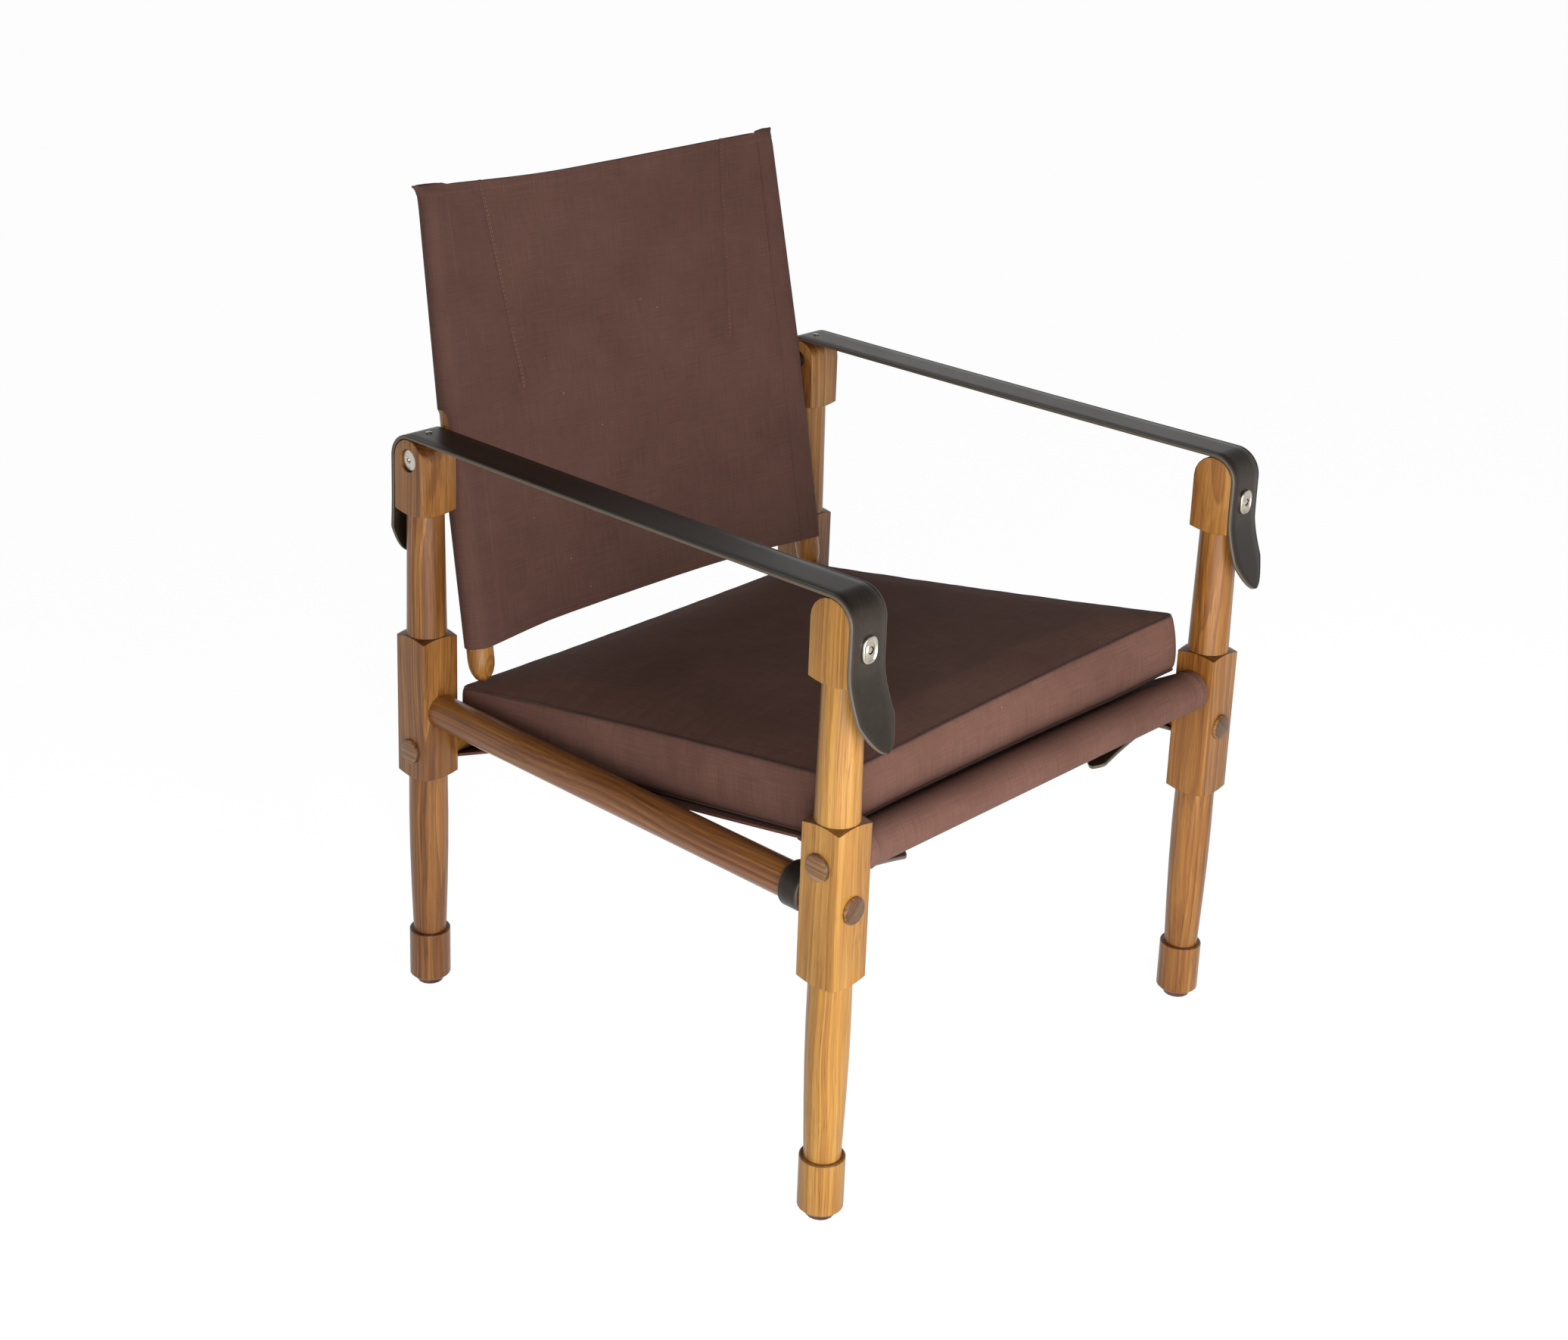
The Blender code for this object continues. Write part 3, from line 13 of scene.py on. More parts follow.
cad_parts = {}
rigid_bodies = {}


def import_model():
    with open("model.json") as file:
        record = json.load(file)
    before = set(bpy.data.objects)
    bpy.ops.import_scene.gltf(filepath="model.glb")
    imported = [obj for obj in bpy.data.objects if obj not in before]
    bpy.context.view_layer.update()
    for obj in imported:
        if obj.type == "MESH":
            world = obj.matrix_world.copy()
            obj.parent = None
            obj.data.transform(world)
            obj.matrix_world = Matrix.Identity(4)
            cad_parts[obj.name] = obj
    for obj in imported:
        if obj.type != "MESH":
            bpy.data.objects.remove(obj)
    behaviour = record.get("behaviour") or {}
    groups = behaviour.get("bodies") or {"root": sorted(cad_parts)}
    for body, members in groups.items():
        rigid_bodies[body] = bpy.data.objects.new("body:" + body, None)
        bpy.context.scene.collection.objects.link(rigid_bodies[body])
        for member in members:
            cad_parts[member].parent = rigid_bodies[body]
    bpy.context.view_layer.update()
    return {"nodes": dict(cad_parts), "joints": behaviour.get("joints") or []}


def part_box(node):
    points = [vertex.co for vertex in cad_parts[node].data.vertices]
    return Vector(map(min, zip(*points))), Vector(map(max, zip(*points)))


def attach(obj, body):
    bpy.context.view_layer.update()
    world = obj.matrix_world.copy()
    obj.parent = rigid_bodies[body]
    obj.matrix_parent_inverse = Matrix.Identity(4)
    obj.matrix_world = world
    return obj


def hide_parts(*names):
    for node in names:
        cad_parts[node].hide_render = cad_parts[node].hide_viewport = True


for item in list(bpy.data.objects):
    bpy.data.objects.remove(item, do_unlink=True)

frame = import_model()
nodes = frame["nodes"]
tilt = next(joint for joint in frame["joints"] if joint["name"] == "back_tilt")


def middle(name):
    """Centre of a node's box."""
    low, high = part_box(name)
    return (low + high) / 2


def size(name):
    low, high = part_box(name)
    return high - low


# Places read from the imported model
LEG_X = middle("leg_front_right").x
LEG_HALF = size("leg_front_right").x / 2
INNER_X = LEG_X - LEG_HALF
FRONT_Y = middle("leg_front_right").y
REAR_Y = middle("leg_rear_right").y
PIVOT = Vector(tilt["pos_m"])
BACK_TILT = -math.radians(tilt["range_deg"][0])
FRONT_RAIL_Z = middle("rail_front").z
REAR_RAIL_Z = middle("rail_rear").z
SIDE_RAIL_Z = middle("rail_left").z
RAIL_RADIUS = size("rail_left").z / 2
SEAT_ANGLE = math.atan((FRONT_RAIL_Z - REAR_RAIL_Z) / (REAR_Y - FRONT_Y))

# Camera, fitted to the photograph
CAMERA_FROM_FRONT_LEGS = Vector((-1.64977, -1.19262, 1.29589))
CAMERA_YAW = math.radians(46.065)
CAMERA_PITCH = math.radians(-17.624)
CAMERA_ROLL = math.radians(1.683)
CAMERA_LENS = 55.853
CAMERA_SHIFT = (0.0340, -0.1548)

# Canvas
CANVAS_THICKNESS = 0.0014
SLING_THICKNESS = 0.0020
CLOTH_EASE = 0.0003
WEAVE_PITCH = 0.00085
THREAD_RADIUS = 0.00032
STITCH_LENGTH = 0.0032
STITCH_PITCH = 0.0042

# Leather
STRAP_WIDTH = 0.045
STRAP_THICKNESS = 0.0038

# CAD nodes: corners closer than this are joined, and edges flatter than this are smooth
WELD_DISTANCE = 0.00002
CREASE_ANGLE = math.radians(33)


def srgb(code):
    """Linear colour of a six digit display colour."""
    shares = [int(code[place:place + 2], 16) / 255 for place in (0, 2, 4)]
    return (*(share / 12.92 if share <= 0.04045 else ((share + 0.055) / 1.055) ** 2.4 for share in shares), 1.0)


def palette(codes):
    return [srgb(code) for code in codes.split()]


def arc(start, end, steps):
    return [start + (end - start) * step / steps for step in range(steps + 1)]


def ease(share):
    share = min(1.0, max(0.0, share))
    return share * share * (3 - 2 * share)


# Shader building

class Shader:
    """The node tree of a material or of the world, with short calls to add and join nodes."""

    def __init__(self, owner):
        self.owner = owner
        owner.use_nodes = True
        self.tree = owner.node_tree

    def feed(self, socket, value):
        """Join a socket to another one, or set it to a plain value."""
        if isinstance(value, bpy.types.NodeSocket):
            self.tree.links.new(value, socket)
        else:
            socket.default_value = value

    def node(self, kind, values=None, **settings):
        """Add a node and return its outputs."""
        item = self.tree.nodes.new("ShaderNode" + kind)
        for key, value in settings.items():
            setattr(item, key, value)
        for key, value in (values or {}).items():
            self.feed(item.inputs[key], value)
        return item.outputs

    def finish(self, values):
        """Set the surface's sockets and return the material."""
        surface = self.tree.nodes["Principled BSDF"]
        for key, value in values.items():
            self.feed(surface.inputs[key], value)
        return self.owner

    def show(self, plain, shown):
        """Light the object with the plain shader, and let the camera and clear or glossy rays see the shown one."""
        rays = self.node("LightPath")
        seen = self.math("MAXIMUM", rays["Is Camera Ray"], rays["Is Glossy Ray"])
        seen = self.math("MAXIMUM", seen, rays["Is Transmission Ray"])
        output = next(node for node in self.tree.nodes if "Surface" in node.inputs)
        self.feed(output.inputs["Surface"], self.node("MixShader", {0: seen, 1: plain, 2: shown})[0])

    def math(self, operation, *values):
        return self.node("Math", dict(enumerate(values)), operation=operation)[0]

    def times(self, first, second):
        return self.math("MULTIPLY", first, second)

    def plus(self, first, second):
        return self.math("ADD", first, second)

    def vector(self, operation, first, second):
        return self.node("VectorMath", {0: first, 1: second}, operation=operation)[0]

    def noise(self, vector, scale, detail=2.0, roughness=0.5, output=0):
        """Noise at one scale, or at one for each axis; output 0 is its value and 1 its colour."""
        if isinstance(scale, tuple):
            vector, scale = self.node("Mapping", {"Vector": vector, "Scale": scale})[0], 1.0
        values = {"Vector": vector, "Scale": scale, "Detail": detail, "Roughness": roughness}
        return self.node("TexNoise", values)[output]

    def cells(self, vector, scale):
        """Distance to the nearest of scattered points."""
        return self.node("TexVoronoi", {"Vector": vector, "Scale": scale}, feature="F1")["Distance"]

    def stored(self, name):
        """Value from 0 to 1 that the mesh holds for each vertex."""
        return self.node("Attribute", attribute_name=name)["Fac"]

    def ramp(self, factor, stops):
        item = self.tree.nodes.new("ShaderNodeValToRGB")
        self.feed(item.inputs[0], factor)
        elements = item.color_ramp.elements
        while len(elements) < len(stops):
            elements.new(0.5)
        for element, (place, colour) in zip(elements, stops):
            element.position = place
            element.color = colour
        return item.outputs[0]

    def grey(self, factor, *stops):
        return self.ramp(factor, [(place, (value, value, value, 1.0)) for place, value in stops])

    def mix(self, factor, first, second, blend="MIX"):
        return self.node("Mix", {0: factor, 6: first, 7: second}, data_type="RGBA", blend_type=blend)[2]

    def bump(self, height, distance, strength, **more):
        return self.node("Bump", {"Height": height, "Distance": distance, "Strength": strength, **more})[0]


def wood(name, grain, codes, offset, polish=0.36, figure=0.12, spacing=0.0095):
    """Oiled open pored wood; grain is the fibres' axis, figure is how dark its growth rings end."""
    shader = Shader(bpy.data.materials.new(name))
    times, plus, mix, grey = shader.times, shader.plus, shader.mix, shader.grey
    tones = palette(codes)
    coordinates = shader.node("TexCoord")
    split = shader.node("SeparateXYZ", {0: coordinates["Object"]})
    order = {"X": (1, 2, 0), "Y": (2, 0, 1), "Z": (0, 1, 2)}[grain]
    joined = shader.node("CombineXYZ", {i: split[axis] for i, axis in enumerate(order)})[0]
    local = shader.vector("ADD", joined, offset)
    # Slow bends of the fibres along the piece
    shift = shader.vector("SUBTRACT", shader.noise(local, (9.0, 9.0, 2.6), output=1), (0.5, 0.5, 0.5))
    bent = shader.vector("ADD", local, shader.vector("MULTIPLY", shift, (0.034, 0.034, 0.0)))
    flat = shader.vector("MULTIPLY", bent, (1.0, 1.0, 0.030))
    radius = shader.node("VectorMath", {0: flat}, operation="LENGTH")["Value"]
    # Growth rings of uneven width, each darkening slowly and ending in a thin line
    uneven = {"W": times(radius, 60.0), "Scale": 1.0, "Detail": 3.0, "Roughness": 0.6}
    widths = shader.node("TexNoise", uneven, noise_dimensions="1D")[0]
    ring = shader.math("FRACT", plus(times(radius, 1 / spacing), times(widths, 3.2)))
    late = grey(ring, (0.30, 0.0), (0.90, 0.75), (0.97, 1.0), (1.0, 0.0))
    fibres = shader.noise(bent, (1500.0, 1500.0, 26.0))
    streaks = shader.noise(bent, (330.0, 330.0, 4.0), 4.0, 0.62)
    clouds = shader.noise(local, (16.0, 16.0, 4.0))
    tone = plus(plus(times(streaks, 0.46), times(clouds, 0.34)), times(widths, 0.24))
    tone = shader.math("SUBTRACT", tone, times(late, 0.075))
    colour = shader.ramp(tone, list(zip((0.36, 0.45, 0.54, 0.64), tones)))
    colour = mix(times(late, figure), colour, mix(0.45, tones[0], srgb("46200C")))
    colour = mix(0.45, colour, grey(fibres, (0.30, 0.74), (0.62, 1.06)), "MULTIPLY")
    # Open pores, thin dashes along the grain
    pore = grey(shader.noise(bent, (950.0, 950.0, 24.0), 1.0), (0.645, 0.0), (0.71, 1.0))
    colour = mix(times(pore, 0.42), colour, mix(1.0, colour, tones[0], "MULTIPLY"))
    # End grain drinks more oil and stays darker; the strong darkening there also paints the shade on the blocks' upward
    # shoulders
    face = shader.node("SeparateXYZ", {0: coordinates["Normal"]})["XYZ".index(grain)]
    ends = grey(shader.math("ABSOLUTE", face), (0.32, 0.0), (0.72, 1.0))
    end_grain_and_shade = mix(1.0, colour, (0.30, 0.24, 0.20, 1.0), "MULTIPLY")
    height = shader.math("SUBTRACT", times(fibres, 0.35), pore)
    rounded = shader.node("Bevel", {"Radius": 0.0013}, samples=6)[0]
    return shader.finish({
        "Base Color": mix(times(ends, 0.85), colour, end_grain_and_shade),
        "Roughness": shader.math("MULTIPLY_ADD", fibres, 0.14, polish - 0.06),
        "Normal": shader.bump(height, 0.00010, 0.6, Normal=rounded),
        "Specular IOR Level": 0.46,
    })


def cloth(name, codes):
    """Heavy woven canvas; the weave follows the UV layer, which is in metres."""
    shader = Shader(bpy.data.materials.new(name))
    times, plus, mix, grey = shader.times, shader.plus, shader.mix, shader.grey
    base, dark, pale = palette(codes)
    threads = shader.node("UVMap", uv_map="cloth")[0]
    split = shader.node("SeparateXYZ", {0: threads})
    weave = times(*(shader.math("SINE", times(split[axis], 2 * math.pi / WEAVE_PITCH)) for axis in (0, 1)))
    slubs = plus(shader.noise(threads, (26.0, 1150.0, 1.0)), shader.noise(threads, (1150.0, 26.0, 1.0)))
    body = shader.node("TexCoord")["Object"]
    tone = plus(times(slubs, 0.32), times(shader.noise(body, 11.0, 4.0, 0.6), 0.36))
    colour = shader.ramp(tone, [(0.36, dark), (0.50, base), (0.66, pale)])
    colour = mix(0.35, colour, grey(weave, (0.0, 0.72), (1.0, 1.12)), "MULTIPLY")
    specks = grey(shader.noise(body, 420.0, 2.0, 0.6), (0.35, 0.15), (0.65, 1.0))
    colour = mix(times(times(shader.stored("wear_and_edge_highlight"), specks), 0.55), colour, srgb("967062"))
    # Flecks of lint
    fleck = grey(shader.cells(body, 34.0), (0.018, 1.0), (0.026, 0.0))
    colour = mix(times(fleck, 0.55), colour, srgb("BEACA0"))
    # Painted shade: the canvas darkens towards deep brown where the mesh stores shade, along the cushion's seams
    return shader.finish({
        "Base Color": mix(times(shader.stored("shade"), 0.8), colour, srgb("281B17")),
        "Roughness": 0.82,
        "Specular IOR Level": 0.15,
        "Sheen Weight": 0.04,
        "Sheen Roughness": 0.45,
        "Sheen Tint": (1.0, 0.86, 0.80, 1.0),
        "Normal": shader.bump(plus(times(weave, 0.5), slubs), 0.00016, 0.55),
    })


def hide(name, codes):
    """Bridle leather with a fine grain, handling marks and edges painted paler as a highlight; also waxed thread."""
    shader = Shader(bpy.data.materials.new(name))
    base, dark, pale, edge = palette(codes)
    times, plus = shader.times, shader.plus
    body = shader.node("TexCoord")["Object"]
    patches = shader.noise(body, 14.0, 4.0, 0.62)
    scuffs = shader.noise(body, (260.0, 70.0, 260.0), 3.0, 0.6)
    tone = plus(times(patches, 0.7), times(scuffs, 0.3))
    colour = shader.ramp(tone, [(0.34, dark), (0.50, base), (0.68, pale)])
    height = plus(times(shader.cells(body, 1400.0), 0.6), scuffs)
    return shader.finish({
        # Painted highlight: the leather turns paler along its edges and ends, as the mesh stores it
        "Base Color": shader.mix(times(shader.stored("wear_and_edge_highlight"), 0.85), colour, edge),
        "Roughness": shader.math("MULTIPLY_ADD", tone, 0.22, 0.24),
        "Specular IOR Level": 0.34,
        "Specular Tint": (1.0, 0.93, 0.82, 1.0),
        "Normal": shader.bump(height, 0.00005, 0.4),
    })


def metal(name, codes, roughness):
    """Plated or turned metal with fine turning marks and light tarnish."""
    shader = Shader(bpy.data.materials.new(name))
    colour, tarnish = palette(codes)
    body = shader.node("TexCoord")["Object"]
    patches = shader.noise(body, 90.0, 3.0, 0.6)
    scratches = shader.noise(body, (500.0, 500.0, 2600.0))
    return shader.finish({
        "Base Color": shader.ramp(patches, [(0.30, tarnish), (0.50, colour)]),
        "Metallic": 1.0,
        "Roughness": shader.math("MULTIPLY_ADD", scratches, 0.10, roughness - 0.05),
        "Normal": shader.bump(scratches, 0.00001, 0.2),
    })


def make_materials():
    """Materials by key; a wood's tones run from dark to pale, and other lists start with the main colour."""
    golden = "8C5A22 A6722E B8833A C7964E"
    amber = "7A481C 966028 AC7536 BE8A48"
    russet = "6E401B 905B29 A87238 BC8A4E"
    rail = "623616 7E4A20 965E2A AC7438"
    plug = "704C2C 8A623C 9E744C B0885E"
    return {
        "upright": wood("walnut_upright", "Z", golden, (0.31, 0.17, 0.0)),
        "upright_right": wood("walnut_upright_right", "Z", amber, (0.12, 0.29, 0.3), figure=0.22, spacing=0.0085),
        "upright_rear": wood("walnut_upright_rear", "Z", russet, (0.27, -0.31, 0.6), figure=0.34, spacing=0.0125),
        "post": wood("walnut_post", "Z", amber, (0.22, 0.07, 0.9), figure=0.2),
        "crosswise": wood("walnut_crosswise", "X", golden, (0.23, 0.11, 0.4)),
        "lengthwise": wood("walnut_lengthwise", "Y", rail, (0.19, 0.27, 0.7), 0.30, 0.25, 0.006),
        "plug_side": wood("walnut_plug_side", "Y", plug, (0.05, 0.02, 0.1), figure=0.5, spacing=0.0035),
        "plug_front": wood("walnut_plug_front", "Y", plug, (0.04, 0.03, 0.1), figure=0.5, spacing=0.0035),
        "canvas": cloth("waxed_canvas", "79564B 6C4B41 886357"),
        "canvas_back": cloth("waxed_canvas_back", "694B42 5D4139 75544B"),
        "thread": hide("sewing_thread", "7A5A4F 664A41 8E6C5F 8E6C5F"),
        "seam": hide("seam_shadow", "32211C 281A16 3E2A24 3E2A24"),
        "leather": hide("bridle_leather", "221A15 19130F 2F261F 6C6254"),
        "nickel": metal("polished_nickel", "BEB6A7 92897A", 0.20),
        "steel": metal("turned_steel", "C4BEB4 969084", 0.26),
        "brass": metal("brass_insert", "BE9652 8C6834", 0.32),
        "bronze": metal("bronzed_steel", "704E42 462C24", 0.24),
    }


# Material of each CAD node, by the first match of the start of its name
NODE_LOOKS = (
    ("button_front button_rear", "plug_front"), ("button_", "plug_side"), ("leg_front_right", "upright_right"),
    ("leg_rear", "upright_rear"), ("leg_", "upright"), ("back_post", "post"), ("rail_front rail_rear", "crosswise"),
    ("rail_", "lengthwise"), ("glide", "bronze"), ("strap_nail pivot_bolt bolt", "steel"),
    ("insert pivot_insert", "brass"), ("snap strap_screw thigh_strap_rivet", "nickel"),
    ("pivot_spacer arm_strap thigh_strap", "leather"), ("seat back_canvas", "canvas"),
)


# Meshes

def add_object(name, data):
    item = bpy.data.objects.new(name, data)
    bpy.context.scene.collection.objects.link(item)
    return item


def smoothing():
    """Geometry nodes that weld a CAD node's facets and shade them smooth up to the crease angle."""
    group = bpy.data.node_groups.new("weld_and_smooth", "GeometryNodeTree")
    for way in ("INPUT", "OUTPUT"):
        group.interface.new_socket("Geometry", in_out=way, socket_type="NodeSocketGeometry")

    def node(kind, key=None, value=None):
        item = group.nodes.new(kind)
        if key:
            item.inputs[key].default_value = value
        return item

    crease = node("GeometryNodeSetShadeSmooth", "Shade Smooth", False)
    crease.domain = "EDGE"
    chain = (
        node("NodeGroupInput"), node("GeometryNodeRemoveAttribute", "Name", "custom_normal"),
        node("GeometryNodeMergeByDistance", "Distance", WELD_DISTANCE),
        node("GeometryNodeSetShadeSmooth"), crease, node("NodeGroupOutput"),
    )
    for before, after in zip(chain, chain[1:]):
        group.links.new(before.outputs[0], after.inputs[0])
    steep = node("FunctionNodeCompare", "B", CREASE_ANGLE)
    steep.operation = "GREATER_THAN"
    between = node("GeometryNodeInputMeshEdgeAngle")
    group.links.new(between.outputs["Unsigned Angle"], steep.inputs["A"])
    group.links.new(steep.outputs[0], crease.inputs["Selection"])
    return group


def dress_cad_nodes(materials):
    """Give each carried over CAD node its material and smooth shading."""
    soft = smoothing()
    for name, item in nodes.items():
        key = next(look for starts, look in NODE_LOOKS if name.startswith(tuple(starts.split())))
        for slot in item.material_slots:
            slot.material = materials[key]
        item.modifiers.new("smooth", "NODES").node_group = soft


def put(name, mesh, material, body, angle=40.0):
    """Link a mesh as a piece that rides on a body; an angle of 0 leaves every edge smooth."""
    mesh.materials.clear()
    mesh.materials.append(material)
    mesh.shade_smooth()
    if angle:
        mesh.set_sharp_from_angle(angle=math.radians(angle))
    item = add_object(name, mesh)
    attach(item, body)
    return item


def make_mesh(bm, name, outward=True):
    """Mesh of a bmesh, with its faces turned outward unless they already are."""
    if outward:
        bmesh.ops.recalc_face_normals(bm, faces=bm.faces)
    mesh = bpy.data.meshes.new(name)
    bm.to_mesh(mesh)
    bm.free()
    return mesh


def join_rows(bm, layer, verts, metres, closed):
    """Quads between rows of vertices; metres(row, column) is a corner's place on the cloth."""
    width = len(verts[0])
    for r in range(len(verts) - 1):
        for c in range(width if closed else width - 1):
            after = (c + 1) % width
            face = bm.faces.new([verts[r][c], verts[r][after], verts[r + 1][after], verts[r + 1][c]])
            for loop, corner in zip(face.loops, ((r, c), (r, c + 1), (r + 1, c + 1), (r + 1, c))):
                loop[layer].uv = metres(*corner)


def join_rings(bm, rings):
    """Tube between closed rings of vertices."""
    for low, high in zip(rings, rings[1:]):
        for step in range(len(low)):
            after = (step + 1) % len(low)
            bm.faces.new([low[step], low[after], high[after], high[step]])


def ring(bm, centre, side, up, radius, sides):
    """Vertices of a circle in the plane of two directions."""
    turns = arc(0.0, 2 * math.pi, sides)[:-1]
    return [bm.verts.new(centre + (side * math.cos(turn) + up * math.sin(turn)) * radius) for turn in turns]


def heading(turn):
    """Direction in the plane of the chair's side; 0 is to the rear, and a quarter turn is up."""
    return Vector((0, math.cos(turn), math.sin(turn)))


def cap_ends(bm):
    bmesh.ops.holes_fill(bm, edges=[edge for edge in bm.edges if edge.is_boundary], sides=0)


def weld(bm):
    bmesh.ops.remove_doubles(bm, verts=bm.verts, dist=0.000001)


def grid_mesh(name, rows, metres, closed=False, mend=None):
    """Quads over rows of points with a UV layer in metres; mend closes what the rows leave open."""
    bm = bmesh.new()
    layer = bm.loops.layers.uv.new("cloth")
    join_rows(bm, layer, [[bm.verts.new(point) for point in row] for row in rows], metres, closed)
    if mend:
        mend(bm)
    return make_mesh(bm, name)


def thicken(item, thickness, hem_thickness, hemmed):
    """Give a sheet its thickness with a real edge, more along its hems, and apply it."""
    group = item.vertex_groups.new(name="hem")
    for vert in item.data.vertices:
        group.add([vert.index], 1.0 if hemmed(vert.co) else thickness / hem_thickness, "REPLACE")
    modifier = item.modifiers.new("thickness", "SOLIDIFY")
    modifier.thickness = hem_thickness
    modifier.vertex_group = "hem"
    modifier.offset = 0.0
    bake(item)
    item.vertex_groups.clear()
    sharpen(item, 60)


def sharpen(item, angle):
    """Smooth shading, but for edges steeper than an angle."""
    item.data.shade_smooth()
    item.data.set_sharp_from_angle(angle=math.radians(angle))


def bake(item):
    """Replace an object's mesh by what its modifiers make of it."""
    bpy.context.view_layer.update()
    graph = bpy.context.evaluated_depsgraph_get()
    mesh = bpy.data.meshes.new_from_object(item.evaluated_get(graph))
    item.modifiers.clear()
    item.data = mesh


def store(item, name, values):
    """Store a value between 0 and 1 for each vertex."""
    layer = item.data.attributes.get(name) or item.data.attributes.new(name, "FLOAT", "POINT")
    layer.data.foreach_set("value", values)


def set_wear(item, amount):
    """Store how rubbed each vertex is; amount takes its place."""
    store(item, "wear_and_edge_highlight", [amount(vert.co) for vert in item.data.vertices])


def path_length(points):
    """Length of a path up to each of its points."""
    total = [0.0]
    for before, after in zip(points, points[1:]):
        total.append(total[-1] + (after - before).length)
    return total


# Sections of a stitch: share of its length, rise in thread radii, and size
STITCH_RINGS = ((0.0, -0.4, 0.5), (0.2, 0.5, 1.0), (0.8, 0.5, 1.0), (1.0, -0.4, 0.5))
STITCH_SIDES = 5


def stitches(name, lines, material, body):
    """Rows of thread; each line is a list of (point, normal) pairs that lie on the cloth."""
    bm = bmesh.new()
    for line in lines:
        lengths = path_length([point for point, normal in line])
        place = STITCH_PITCH / 2
        while place + STITCH_LENGTH < lengths[-1]:
            add_stitch(bm, along(line, lengths, place), along(line, lengths, place + STITCH_LENGTH))
            place += STITCH_PITCH
    return put(name, make_mesh(bm, name, outward=False), material, body)


def along(line, lengths, place):
    """Point and normal at a distance along a line that is longer than that."""
    index = next(index for index in range(len(lengths) - 1) if lengths[index + 1] >= place)
    share = (place - lengths[index]) / max(1e-9, lengths[index + 1] - lengths[index])
    (point, normal), (next_point, next_normal) = line[index:index + 2]
    return point.lerp(next_point, share), normal.lerp(next_normal, share).normalized()


def add_stitch(bm, start, end):
    """One stitch: a short thread that rises from the cloth and dips back into it."""
    (first, normal), (last, normal_last) = start, end
    run = last - first
    side = run.cross(normal).normalized()
    rings = []
    for share, rise, scale in STITCH_RINGS:
        up = normal.lerp(normal_last, share)
        centre = first + run * share + up * THREAD_RADIUS * rise
        rings.append(ring(bm, centre, side, up, THREAD_RADIUS * scale, STITCH_SIDES))
    join_rings(bm, rings)
    bm.faces.new(rings[0])
    bm.faces.new(list(reversed(rings[-1])))


# Back canvas; heights are from the pivot along the tilted back

POST_RADIUS = 0.0133
POST_TOP_RADIUS = 0.0090
POST_STRAIGHT = 0.022
POST_GAP = 0.0047
POST_X = INNER_X - POST_GAP - POST_RADIUS
POST_TOE_IN = math.radians(0.8)
BACK_RADIUS = POST_RADIUS + 0.0001 + CANVAS_THICKNESS / 2
BACK_TOP = 0.254
BACK_SHOULDER = 0.231
BACK_TOP_DIP = 0.0058
BACK_SCOOP = 0.0055
BACK_HEM = 0.009
BACK_HEM_EXTRA = 0.0008
HEM_EDGE = 0.0008
WINDOW_TOP = 0.040
WINDOW_BOTTOM = -0.058
WINDOW_HALF_WIDTH = 0.0118
WINDOW_TURN = math.radians(20)
WINDOW_REACH = 0.03
SEAM_HALF_WIDTH = 0.0163
SEAM_REAR = 0.0030
SEAM_HALF_DEPTH = 0.0010
SEAM_RUN = 0.030
SLEEVE_STEPS = 34
SLEEVE_OUTERMOST = 11
PANEL_SETBACK = 0.0104
DART_LOW = 0.041
DART_X = (0.142, 0.165)
DART_WIDTH = 0.0045
DART_PROUD = 0.0013
DART_STITCH_INSET = 0.0012
HEM_STITCH_REACH = 0.222
BACK_FRAME = Matrix.Translation(PIVOT) @ Matrix.Rotation(-BACK_TILT, 4, "X")


def back_bottom():
    """Lower edge of the canvas along the posts, from the CAD node."""
    inverse = BACK_FRAME.inverted()
    return min((inverse @ vert.co).z for vert in nodes["back_canvas"].data.vertices)


def sleeve_radius(height):
    """Radius of the cloth round a post, which tapers above the pivot."""
    share = min(1.0, max(0.0, (height - POST_STRAIGHT) / (BACK_SHOULDER - POST_STRAIGHT)))
    return BACK_RADIUS - (POST_RADIUS - POST_TOP_RADIUS) * share


def dart_line(height):
    """Distance of a dart's inner edge from the middle, and how far its fold stands proud, at a height."""
    share = max(0.0, (height - DART_LOW) / (BACK_TOP - DART_LOW))
    proud = DART_PROUD * ease((height - DART_LOW + 0.004) / 0.012)
    return DART_X[0] + (DART_X[1] - DART_X[0]) * share, proud


def sleeve_section(radius):
    """Path of the cloth round the right post, from the panel's front to its back.

    Each point is (x, depth, spread), where spread is its place across the flat top seam.
    """
    inner = -radius + CANVAS_THICKNESS * 1.3
    fillet = radius * 0.3
    points = [(radius * math.cos(turn), radius * math.sin(turn)) for turn in arc(-math.pi / 2, math.pi, SLEEVE_STEPS)]
    points += [
        (-radius, -0.35 * radius), (-radius - 0.0002, inner + fillet), (-radius - 0.0008, inner + fillet * 0.4),
        (-radius - 0.0024, inner + fillet * 0.08), (-radius - 0.0044, inner), (-radius - 0.0070, inner),
    ]
    after = len(points) - 1 - SLEEVE_OUTERMOST
    spreads = arc(0.0, 1.0, SLEEVE_OUTERMOST) + arc(1.0, -1.0, after)[1:]
    return [(x, depth, spread) for (x, depth), spread in zip(points, spreads)]


